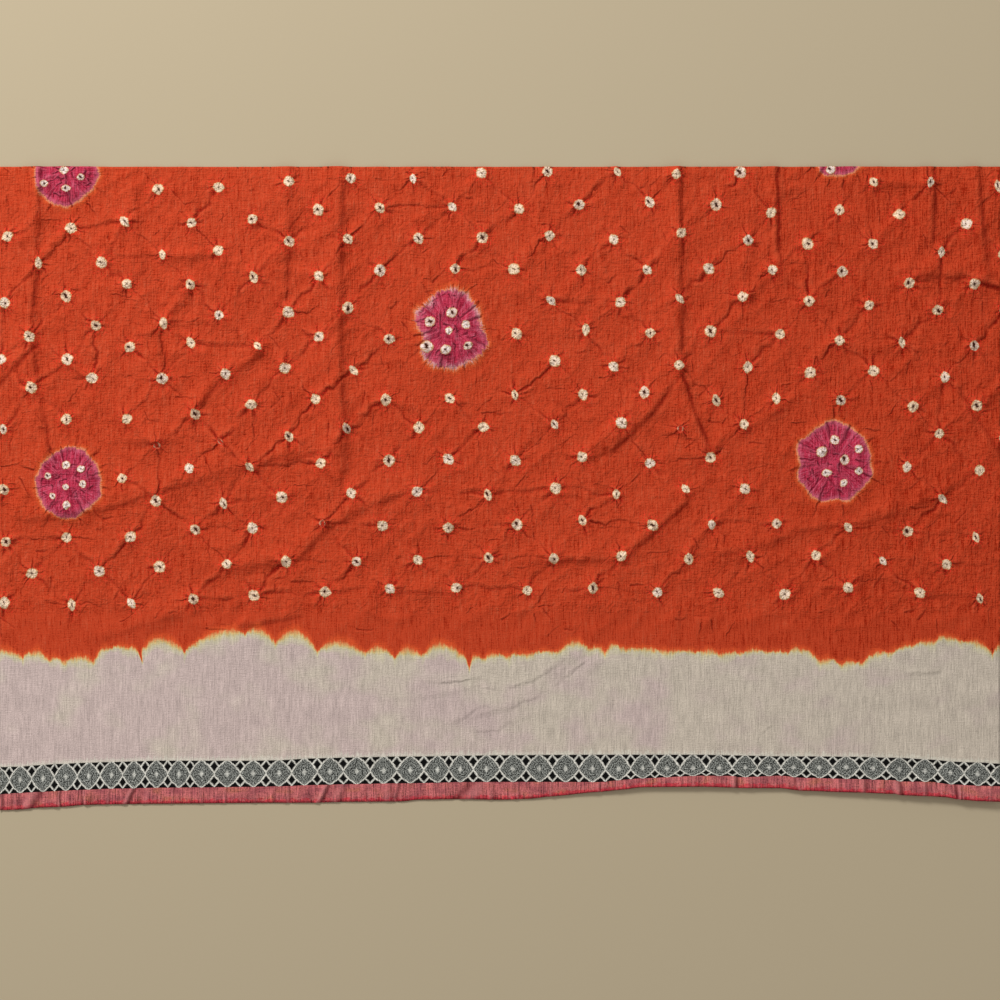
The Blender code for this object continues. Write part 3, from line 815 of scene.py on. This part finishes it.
# Lozenges of the border: along, and the lozenges counted from the left edge
LOZENGES = np.array((
    (-11.7, -1.5), (10.2, 0.5), (55.8, 4.5), (100.7, 8.5), (139.5, 11.5), (165.0, 13.5), (191.8, 15.5),
    (205.1, 16.5), (218.9, 17.5), (230.0, 18.5), (269.6, 21.5), (309.3, 24.5), (333.4, 26.5), (372.6, 29.5),
    (396.4, 31.5), (449.6, 35.5), (475.1, 37.5), (488.7, 38.5), (515.0, 40.5),
))
border_top = edge_line(BORDER_TOP, loop_along)
border_middle = edge_line(BORDER_MIDDLE, loop_along)
strip_top = edge_line(STRIP_TOP, loop_along)
above_middle = (border_middle - loop_down) / (border_middle - border_top)
below_middle = (border_middle - loop_down) / (strip_top - border_middle)
across_border = np.where(loop_down < border_middle, above_middle, below_middle)
corner_map("border_place", np.interp(loop_along, LOZENGES[:, 0], LOZENGES[:, 1]), across_border)
point_fact("above_border", edge_line(BORDER_TOP, points[:, 0]) - points[:, 1])
point_fact("from_edge", edge_line(OUTER_EDGE, points[:, 0]) - points[:, 1])


class Socket:
    """One value in a shader: sums, products and powers of it add the Math nodes they need."""

    def __init__(self, finish, plug):
        self.finish = finish
        self.plug = plug

    def math(self, operation, *others):
        return self.finish.node("ShaderNodeMath", {"operation": operation}, (self, *others))

    def __add__(self, other):
        return self.math("ADD", other)

    def __sub__(self, other):
        return self.math("SUBTRACT", other)

    def __mul__(self, other):
        return self.math("MULTIPLY", other)

    def __truediv__(self, other):
        return self.math("DIVIDE", other)

    def __pow__(self, other):
        return self.math("POWER", other)

    def __abs__(self):
        return self.math("ABSOLUTE")

    def __neg__(self):
        return self.math("MULTIPLY", -1.0)

    def __rsub__(self, other):
        return self.finish.node("ShaderNodeMath", {"operation": "SUBTRACT"}, (other, self))

    __radd__ = __add__
    __rmul__ = __mul__


class Finish:
    """A material whose Principled shader is fed by sockets of its own node tree."""

    def __init__(self, name, roughness, sheen):
        self.material = bpy.data.materials.new(name)
        self.material.use_nodes = True
        self.tree = self.material.node_tree
        self.shader = self.tree.nodes["Principled BSDF"]
        self.shader.inputs["Roughness"].default_value = roughness
        self.shader.inputs["Sheen Weight"].default_value = sheen
        self.shader.inputs["Specular IOR Level"].default_value = 0.08

    def put(self, target, value):
        if isinstance(value, Socket):
            self.tree.links.new(value.plug, target)
        elif isinstance(value, tuple) and len(value) == 3 and len(target.default_value) == 4:
            target.default_value = (*value, 1.0)
        else:
            target.default_value = value

    def node(self, kind, settings, values, output=0):
        """Any node: its settings first, then values or links for its inputs, by place or by name."""
        made = self.tree.nodes.new(kind)
        for setting, value in settings.items():
            setattr(made, setting, value)
        pairs = values.items() if isinstance(values, dict) else enumerate(values)
        for key, value in pairs:
            self.put(made.inputs[key], value)
        return Socket(self, made.outputs[output])

    def split(self, vector):
        return [self.node("ShaderNodeSeparateXYZ", {}, (vector,), axis) for axis in range(3)]

    def corner(self, name):
        """The two numbers of a corner map."""
        return self.split(self.node("ShaderNodeUVMap", {"uv_map": name}, ()))[:2]

    def fact(self, name, output="Vector"):
        return self.node("ShaderNodeAttribute", {"attribute_name": name}, (), output)

    def place(self):
        """Millimetres along X and Y of the piece."""
        x, y, _ = self.split(self.node("ShaderNodeTexCoord", {}, (), "Object"))
        return x * 1000.0, y * 1000.0

    def noise(self, x, y, x_grain, y_grain, detail=1.0, seed=0.0):
        """Noise whose grains are about x_grain by y_grain millimetres, from 0 to 1."""
        vector = self.node("ShaderNodeCombineXYZ", {}, (x / x_grain + seed * 17.3, y / y_grain + seed * 5.9))
        values = {"Vector": vector, "Scale": 1.0, "Detail": detail}
        return self.node("ShaderNodeTexNoise", {"noise_dimensions": "2D"}, values)

    def ease(self, value, low, high):
        """0 below low, 1 above high, and a smooth step between."""
        settings = {"interpolation_type": "SMOOTHSTEP"}
        return self.node("ShaderNodeMapRange", settings, (value, low, high, 0.0, 1.0))

    def bell(self, squared):
        """1 where a squared distance is 0, falling off as a bell."""
        return (-squared).math("EXPONENT")

    def mix(self, share, first, second, how="MIX"):
        settings = {"data_type": "RGBA", "blend_type": how}
        return self.node("ShaderNodeMix", settings, {0: share, 6: first, 7: second}, 2)

    def scaled(self, colour, value):
        """A colour made lighter or darker by a value."""
        return self.mix(1.0, colour, self.node("ShaderNodeCombineXYZ", {}, (value, value, value)), "MULTIPLY")

    def finish_with(self, colour, height_mm):
        """Base colour, and a bump whose height is in millimetres."""
        bump = self.node("ShaderNodeBump", {}, {"Height": height_mm, "Distance": MM, "Strength": 1.0})
        self.put(self.shader.inputs["Base Color"], colour)
        self.put(self.shader.inputs["Normal"], bump)
        return self.material


def linear(red, green, blue):
    """A screen colour of 0 to 255 as the light values that a shader takes."""
    share = np.array((red, green, blue)) / 255
    low = share / 12.92
    high = ((share + 0.055) / 1.055) ** 2.4
    return tuple(float(value) for value in np.where(share <= 0.04045, low, high))


THREAD_PITCH = 0.44


def threads(finish, x, y, level_share=1.0):
    """Plain weave with slubs: how light the threads are, about 1, partly slub colour and partly painted light
    and shade that follow how high they lie; and how high, in millimetres.
    """
    upright = finish.noise(x, y, 0.62, 8.0, 2.0, 1.0) - 0.5
    wide = finish.noise(x, y, 1.9, 26.0, 1.0, 2.0) - 0.5
    level = (finish.noise(x, y, 6.0, 0.62, 1.0, 3.0) - 0.5) * level_share
    speck = finish.noise(x, y, 0.7, 0.7, 0.0, 20.0) - 0.5
    grain = np.pi / THREAD_PITCH
    cells = (x * grain).math("SINE") * (y * grain).math("SINE")
    light = upright * 0.95 + wide * 0.34 + level * 0.42 + speck * 0.42 + 1.0
    return light + cells * 0.06, cells * 0.02 + upright * 0.28 + level * 0.2 + speck * 0.12


def crease_layer(finish, layer, warp):
    """The groove and the lip of one layer of creases: bells across the line, faded past its two ends."""
    run, side = finish.corner(f"crease_{layer}")
    half_length, half_width, first = finish.split(finish.fact(f"crease_{layer}_size"))
    last = finish.fact(f"crease_{layer}_last", "Fac")
    over = (abs(run) - half_length).math("MAXIMUM", 0.0)
    share = finish.node("ShaderNodeMapRange", {}, (run / half_length, -1.0, 1.0, 0.0, 1.0))
    strength = first + (last - first) * share
    side = side + warp
    spread = half_width * half_width
    groove = finish.bell((over * over + side * side) / spread) * strength
    lit = side - half_width * 1.9
    lip = finish.bell((over * over + lit * lit) / (spread * 1.6)) * strength
    return groove, lip


def creases(finish, x, y):
    """Both layers of creases together, whose lines waver a little."""
    warp = (finish.noise(x, y, 3.2, 3.2, 1.0, 4.0) - 0.5) * 1.7
    groove, lip = crease_layer(finish, 0, warp)
    second_groove, second_lip = crease_layer(finish, 1, warp)
    return groove.math("MAXIMUM", second_groove), lip.math("MAXIMUM", second_lip)


ORANGE = linear(199, 69, 38)
# The darkest and lightest thread tones of the orange, which carry painted shade and painted highlight of the
# weave along with slub colour
ORANGE_DARK = linear(152, 30, 4)
ORANGE_LIGHT = linear(208, 92, 60)
# Painted shade in crease grooves, partly the deeper dye that gathers there, and a painted highlight on the
# lit lip beside each groove
CREASE_SHADE_AND_DYE = linear(122, 3, 0)
CREASE_PAINTED_HIGHLIGHT = linear(216, 92, 58)
SCARLET = linear(232, 58, 40)


def dyed_field(finish, x, y, light):
    """The orange dye in faint broad clouds, a little darker towards the right, with a painted highlight on
    high threads, painted shade on low ones, and slub colour.
    """
    cloud = finish.noise(x, y, 26.0, 36.0, 1.0, 5.0) - 0.5
    tone = light + cloud * 0.12 - finish.ease(x, 40.0, 230.0) * 0.1
    colour = finish.mix(finish.ease(tone, 0.5, 1.02), ORANGE_DARK, ORANGE)
    return finish.mix(finish.ease(tone, 1.02, 1.55), colour, ORANGE_LIGHT)


CREAM = linear(255, 226, 196)
CREAM_SHADE = linear(204, 170, 126)
CREAM_WHITE = linear(252, 232, 226)
# Painted shade: the dark of a narrow slit and the greyish brown of the hollow round it
PIT = linear(74, 30, 16)
CUP_SHADE = linear(178, 132, 104)
FRINGE = linear(220, 152, 88)


def tied_rings(finish, x, y, under):
    """The cream ring that each tie leaves: a rounded lozenge with painted shade in places, round a small slit
    painted dark as shade.
    """
    tie_x, tie_y = finish.corner("tie_offset")
    half_width, half_height, turn = finish.split(finish.fact("tie_shape"))
    opening, seed, whiteness = finish.split(finish.fact("tie_look"))
    cosine = turn.math("COSINE")
    sine = turn.math("SINE")
    u = (tie_x * cosine + tie_y * sine) / half_width
    v = (tie_y * cosine - tie_x * sine) / half_height
    heading = v.math("ARCTAN2", u)
    folds = (heading * 3.0 + seed * 40.0).math("SINE") + (heading * 5.0 - seed * 70.0).math("SINE") * 0.6
    ragged = finish.noise(x, y, 0.85, 0.85, 1.0, 10.0) - 0.5
    far = (abs(u) ** 1.6 + abs(v) ** 1.6) ** 0.625 + ragged * 0.3 + folds * 0.02
    speck = finish.noise(x, y, 0.6, 0.6, 0.0, 11.0)
    bright = finish.mix(finish.ease(whiteness, 0.3, 1.0), CREAM, CREAM_WHITE)
    # Painted shade of the ring's crumples, placed by random mottle, by its folds and towards its rim
    shade = finish.ease(folds * 0.1 + speck * 1.0 + far * 0.4, 0.66, 1.15)
    cream = finish.mix(shade, bright, CREAM_SHADE)
    cream = finish.mix(finish.ease(far, 0.78, 1.0) * 0.85, cream, FRINGE)
    slip = folds * 0.07 + (seed - 0.5) * 0.3
    slit = ((u + slip) * (u + slip) + (v - slip) * (v - slip) * 0.3).math("SQRT") / opening
    # Painted shade in the hollow round the slit
    cream = finish.mix(finish.ease(slit, 3.4, 0.9) * 0.6, cream, CUP_SHADE)
    # The slit itself: painted shade where it is narrow, orange-red dye where it opens wide
    hole = finish.ease(slit, 1.4, 0.7)
    cream = finish.mix(hole, cream, finish.mix(finish.ease(opening, 0.26, 0.4), PIT, linear(178, 38, 22)))
    fleck = finish.ease(finish.noise(x, y, 0.8, 0.8, 0.0, 21.0), 0.62, 0.74)
    glow = finish.ease(far, 1.6, 1.1) * finish.ease(ragged, -0.02, 0.16) + finish.ease(far, 3.6, 1.3) * fleck
    colour = finish.mix(glow * finish.ease(whiteness, 0.95, 0.8) * 0.8, under, SCARLET)
    dot = finish.ease(far, 1.08, 0.94) * finish.ease(whiteness, -0.9, 0.0).math("MAXIMUM", 0.6)
    height = (folds * 0.06 + speck * 0.2) * finish.ease(far, 1.15, 0.8) - hole * 0.5
    return finish.mix(dot, colour, cream), height


def dyed_cotton():
    """The orange field with its creases and rings."""
    finish = Finish("dyed_cotton", 0.95, 0.0)
    x, y = finish.place()
    light, height = threads(finish, x, y)
    groove, lip = creases(finish, x, y)
    crinkle = abs(finish.noise(x, y, 3.4, 4.2, 2.0, 17.0) - 0.5)
    colour = dyed_field(finish, x, y, light)
    # Painted shade in each crease groove, partly deeper dye, and a painted highlight on its lit lip
    colour = finish.mix(finish.ease(groove, 0.0, 0.8) * 0.88, colour, CREASE_SHADE_AND_DYE)
    colour = finish.mix(lip * 0.4, colour, CREASE_PAINTED_HIGHLIGHT)
    colour, ring_height = tied_rings(finish, x, y, colour)
    return finish.finish_with(colour, height + ring_height + lip * 0.3 - groove * 0.35 + crinkle * 1.2)


MAGENTA = linear(192, 56, 82)
MAGENTA_DEEP = linear(150, 26, 50)
# Painted shade for the crease grooves inside a roundel, partly deeper dye
MAGENTA_CREASE_SHADE_AND_DYE = linear(98, 6, 30)
PINK = linear(202, 100, 122)
PEACH = linear(226, 142, 100)
LILAC = linear(212, 152, 154)


def roundel_cotton():
    """A gathered roundel: magenta with light thread streaks, inside a thin and frayed peach outline."""
    finish = Finish("roundel_cotton", 0.95, 0.0)
    x, y = finish.place()
    light, height = threads(finish, x, y)
    groove, lip = creases(finish, x, y)
    crinkle = abs(finish.noise(x, y, 3.4, 4.2, 2.0, 17.0) - 0.5)
    field = dyed_field(finish, x, y, light)
    across, up = finish.corner("roundel_offset")
    rim = finish.fact("rim", "Fac")
    fray = finish.fact("fray", "Fac")
    heading = up.math("ARCTAN2", across)
    streak = finish.noise(heading * 6.0, across, 0.22, 3.0, 1.0, 6.0) - 0.5
    thread = finish.noise(x, y, 0.5, 5.0, 1.0, 7.0) - 0.5
    patch = finish.noise(x, y, 6.0, 6.0, 1.0, 18.0)
    width = fray * 1.3 * finish.ease(patch, 0.3, 0.75) + 0.32
    edge = rim + (streak * 4.2 + thread * 3.0) * (fray * 0.75 + 0.15)
    magenta = finish.mix(finish.ease(light + streak * 0.8, 0.6, 1.2), MAGENTA_DEEP, MAGENTA)
    magenta = finish.mix(finish.ease(thread + streak, 0.08, 0.34) * 0.7, magenta, PINK)
    magenta = finish.mix(finish.ease(edge / (width * 2.0 + 0.6), -2.0, -0.6) * 0.6, magenta, PINK)
    pale = finish.mix(finish.ease(fray * finish.ease(patch, 0.4, 0.6), 0.3, 0.9), PEACH, LILAC)
    inside = finish.mix(finish.ease(edge / width, -1.6, -0.4), magenta, pale)
    warm = finish.mix(finish.ease(edge / width, 1.4, 0.2), linear(216, 88, 44), PEACH)
    outside = finish.mix(finish.ease(edge / (width + 0.6), 2.4, 0.6) * 0.75, field, warm)
    within = finish.ease(edge / width, 0.35, -0.35)
    colour = finish.mix(within, outside, finish.scaled(inside, light * 0.6 + 0.4))
    # Painted shade in the crease grooves, partly deeper dye, and a painted highlight on their lit lips
    crease_shade_colour = finish.mix(within, CREASE_SHADE_AND_DYE, MAGENTA_CREASE_SHADE_AND_DYE)
    colour = finish.mix(finish.ease(groove, 0.0, 0.8) * 0.88, colour, crease_shade_colour)
    colour = finish.mix(lip * 0.35, colour, finish.mix(within, CREASE_PAINTED_HIGHLIGHT, linear(208, 116, 136)))
    colour, ring_height = tied_rings(finish, x, y, colour)
    return finish.finish_with(colour, height + ring_height + lip * 0.35 - groove * 0.5 + crinkle * 1.1)


PALE_LEFT = linear(206, 185, 179)
PALE_RIGHT = linear(204, 191, 175)
PALE_GREEN = linear(208, 199, 170)


def undyed_colour(finish, x, y):
    """Undyed cotton, tinged lilac at the left and beige at the right, in broad clouds."""
    cloud = finish.noise(x, y, 26.0, 20.0, 2.0, 9.0) - 0.5
    colour = finish.mix(finish.ease(x + cloud * 1000.0, -200.0, 200.0), PALE_LEFT, PALE_RIGHT)
    mottle = finish.noise(x, y, 5.5, 7.5, 2.0, 22.0) - 0.5
    return finish.scaled(colour, mottle * 0.2 + cloud * 0.14 + 0.985)


# Drips of dye below the line: along, length, half width, lean in mm a mm down
DRIPS = (
    (11.5, 1.2, 0.5, 0.0), (69.9, 5.6, 0.55, 0.2), (92.3, 1.8, 0.8, 0.0), (137.8, 1.5, 0.7, 0.0),
    (158.7, 1.6, 0.6, 0.0), (197.5, 1.6, 0.5, 0.0), (234.6, 4.0, 1.0, 0.0), (254.6, 1.1, 0.6, 0.0),
    (302.5, 1.0, 0.5, 0.0), (496.2, 1.4, 0.6, 0.0),
)


def dye_margin():
    """Across the dye line: orange, a bright edge, yellow and greenish cream, then undyed cotton."""
    finish = Finish("dye_margin", 0.95, 0.0)
    x, y = finish.place()
    light, height = threads(finish, x, y, 0.6)
    groove, lip = creases(finish, x, y)
    # Painted shade in the crease grooves, partly deeper dye on the orange side, and a painted highlight on
    # their lips; the undyed band is darkened in the grooves as painted shade
    field = finish.mix(finish.ease(groove, 0.0, 0.8) * 0.88, dyed_field(finish, x, y, light), CREASE_SHADE_AND_DYE)
    field = finish.mix(lip * 0.35, field, CREASE_PAINTED_HIGHLIGHT)
    band = finish.scaled(undyed_colour(finish, x, y), (light * 0.62 + 0.38) * (1 - groove * 0.4))
    dye = finish.fact("dye", "Fac")
    arch = finish.fact("arch", "Fac")
    for place, length, half_width, lean in DRIPS:
        away = (x - (dye.math("MAXIMUM", 0.0) * lean + (place - LENGTH / 2))) / half_width
        dye = dye - finish.bell(away * away) * length
    feather = (finish.noise(x, y, 1.5, 4.0, 1.0, 8.0) - 0.5) * 2.4
    feather = feather + (finish.noise(x, y, 0.6, 3.0, 1.0, 23.0) - 0.5) * 1.2
    patch = finish.noise(x, y, 6.0, 8.0, 1.0, 12.0)
    wide = finish.ease(patch, 0.3, 0.7) * 0.6 + finish.ease(arch, 0.5, 5.0) * 0.6 + 0.55
    soak = (dye + feather) / wide
    thread = light * 0.6 + 0.4
    cream = finish.mix(finish.ease(soak, 1.8, 5.5), finish.scaled(PALE_GREEN, thread), band)
    cream = finish.mix(finish.ease(soak, 0.8, 2.6), finish.scaled(linear(216, 194, 130), thread), cream)
    warm = finish.mix(finish.ease(soak, -3.0, -0.4), field, finish.scaled(linear(218, 84, 44), thread))
    warm = finish.mix(finish.ease(soak, -0.7, 0.7), warm, finish.scaled(linear(228, 132, 78), thread))
    colour = finish.mix(finish.ease(soak, -0.2, 1.6), warm, cream)
    colour, ring_height = tied_rings(finish, x, y, colour)
    return finish.finish_with(colour, height + ring_height + lip * 0.3 - groove * 0.4)


def undyed_cotton():
    """The band below the dye line, where threads and slubs show most, with pale tufts above the border."""
    finish = Finish("undyed_cotton", 0.95, 0.0)
    x, y = finish.place()
    light, height = threads(finish, x, y, 0.45)
    groove, lip = creases(finish, x, y)
    colour = undyed_colour(finish, x, y)
    above = finish.fact("above_border", "Fac")
    tufts = finish.ease(finish.noise(x, y, 0.9, 9.0, 1.0, 19.0) * 5.0 - above, 0.6, 2.2)
    colour = finish.mix(tufts * 0.6, colour, linear(224, 220, 204))
    # Painted shade in the crease grooves and a painted highlight on their lit lips
    colour = finish.scaled(colour, (light * 0.62 + 0.38) * (1 - groove * 0.45) + lip * 0.06)
    return finish.finish_with(colour, height + lip * 0.2 - groove * 0.3)


WHITE_THREAD = linear(226, 223, 212)
BLACK_THREAD = linear(12, 11, 11)
LATTICE_STEPS = 15.0


def border_weave():
    """Black ground with white lattice lines, and lozenges filled with fine black and white rings."""
    finish = Finish("border_weave", 0.9, 0.06)
    x, y = finish.place()
    light, height = threads(finish, x, y, 0.8)
    count, across = finish.corner("border_place")
    wander = (finish.noise(x, y, 2.0, 2.0, 1.0, 16.0) - 0.5) * 0.08
    count = ((count + wander * 0.4) * (LATTICE_STEPS * 2)).math("ROUND") / (LATTICE_STEPS * 2)
    far = abs(((across + wander) * LATTICE_STEPS).math("ROUND") / LATTICE_STEPS)
    side = abs(count - count.math("FLOOR") - 0.5) * 2.0
    ring = side + far * 0.8 + (far - 0.6).math("MAXIMUM", 0.0) * 0.55
    speck = finish.noise(x, y, 0.6, 0.6, 1.0, 13.0) - 0.5
    rings = (ring * (2 * np.pi * 5.0)).math("SINE") * 0.7 + speck * 9.0
    grey = finish.mix(finish.ease(rings, -1.7, 2.1), linear(14, 15, 15), linear(168, 170, 163))
    colour = finish.mix(finish.ease(ring, 0.22, 0.14), grey, linear(204, 203, 194))
    second = abs(far - (0.95 - (1.0 - side) * 1.05))
    ground = finish.mix(finish.ease(second, 0.10, 0.05), BLACK_THREAD, WHITE_THREAD)
    colour = finish.mix(finish.ease(ring, 1.0, 1.05), colour, ground)
    colour = finish.mix(finish.ease(abs(ring - 1.06), 0.1, 0.05), colour, WHITE_THREAD)
    colour = finish.mix(finish.ease(across, 0.93, 0.97), colour, linear(206, 198, 184))
    return finish.finish_with(finish.scaled(colour, light), height + speck * 0.25)


def selvedge_strip():
    """Pink threads with orange and mauve patches, tucked, with a deeper red line by the very edge."""
    finish = Finish("selvedge_strip", 0.92, 0.0)
    x, y = finish.place()
    light, height = threads(finish, x, y, 0.5)
    warp = (finish.noise(x, y, 3.2, 3.2, 1.0, 4.0) - 0.5) * 0.8
    groove, lip = crease_layer(finish, 0, warp)
    patch = finish.noise(x, y, 9.0, 5.0, 1.0, 14.0)
    colour = finish.mix(finish.ease(patch, 0.3, 0.5), linear(166, 88, 92), linear(190, 104, 104))
    colour = finish.mix(finish.ease(patch, 0.55, 0.8), colour, linear(184, 106, 92))
    edge = finish.fact("from_edge", "Fac")
    run = edge + (finish.noise(x, y, 2.4, 1.2, 2.0, 15.0) - 0.5) * 4.0
    colour = finish.mix(finish.ease(run, 2.6, 0.8) * 0.75, colour, linear(196, 44, 60))
    colour = finish.mix(finish.ease(edge, 0.5, 0.2) * 0.7, colour, linear(120, 30, 38))
    panel = finish.noise(x, y, 7.0, 60.0, 1.0, 24.0)
    colour = finish.scaled(colour, (light * 1.9 - 0.9) * (panel * 0.5 + 0.75))
    # Painted shade in the groove of each tuck and a painted highlight on its lit lip
    colour = finish.mix(groove * 0.85, colour, linear(84, 14, 20))
    colour = finish.mix(lip * 0.5, colour, linear(222, 142, 142))
    return finish.finish_with(colour, height + lip * 0.3 - groove * 0.5)


FINISHES = (dyed_cotton, roundel_cotton, dye_margin, undyed_cotton, border_weave, selvedge_strip)
for make_finish in FINISHES:
    mesh.materials.append(make_finish())
MARGIN_TOP = 223.0
MARGIN_BOTTOM = 259.0
zone = np.zeros(len(sizes), dtype=np.int32)
zone[roundel_reach(face_along, face_down).min(axis=1) < ROUNDEL_REACH] = 1
zone[face_down > MARGIN_TOP] = 2
zone[face_down > MARGIN_BOTTOM] = 3
zone[face_down > edge_line(BORDER_TOP, face_along)] = 4
zone[face_down > edge_line(STRIP_TOP, face_along)] = 5
mesh.polygons.foreach_set("material_index", zone)
mesh.update()

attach(cloth, "root")
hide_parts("cloth")

# The floor: a plain pale surface, wide enough for every view.
floor_mesh = bpy.data.meshes.new("floor")
FLOOR_HALF = 12.0
FLOOR_CORNERS = ((-1, -1), (1, -1), (1, 1), (-1, 1))
floor_mesh.from_pydata([(x * FLOOR_HALF, y * FLOOR_HALF, 0) for x, y in FLOOR_CORNERS], [], [(0, 1, 2, 3)])
floor = bpy.data.objects.new("floor", floor_mesh)
bpy.context.scene.collection.objects.link(floor)
plain = Finish("floor", 0.95, 0.0)
plain.put(plain.shader.inputs["Base Color"], linear(190, 175, 147))
floor_mesh.materials.append(plain.material)

# The light: one soft lamp from the far left, and an even pale surround.
KEY_PLACE = Vector((-0.75, 1.15, 1.0))
key = bpy.data.lights.new("key", "AREA")
key.shape = "DISK"
key.size = 0.5
key.energy = 22.0
key_object = bpy.data.objects.new("key", key)
key_object.location = KEY_PLACE
key_object.rotation_euler = (-KEY_PLACE).to_track_quat("-Z", "Y").to_euler()
bpy.context.scene.collection.objects.link(key_object)
world = bpy.data.worlds.new("surround")
world.use_nodes = True
world.node_tree.nodes["Background"].inputs["Color"].default_value = (1.0, 0.98, 0.95, 1.0)
world.node_tree.nodes["Background"].inputs["Strength"].default_value = 0.45
bpy.context.scene.world = world
bpy.context.scene.view_settings.view_transform = "Standard"

# The camera: straight above, so that the picture is as wide as the cloth.
LENS = 85.0
SENSOR = 36.0
FRAME_CENTRE_DOWN = 166.5
camera = bpy.data.cameras.new("camera")
camera.lens = LENS
camera.sensor_width = SENSOR
camera_object = bpy.data.objects.new("camera", camera)
camera_object.location = (0.0, (DEPTH / 2 - FRAME_CENTRE_DOWN) * MM, LENGTH * MM * LENS / SENSOR)
bpy.context.scene.collection.objects.link(camera_object)
bpy.context.scene.camera = camera_object
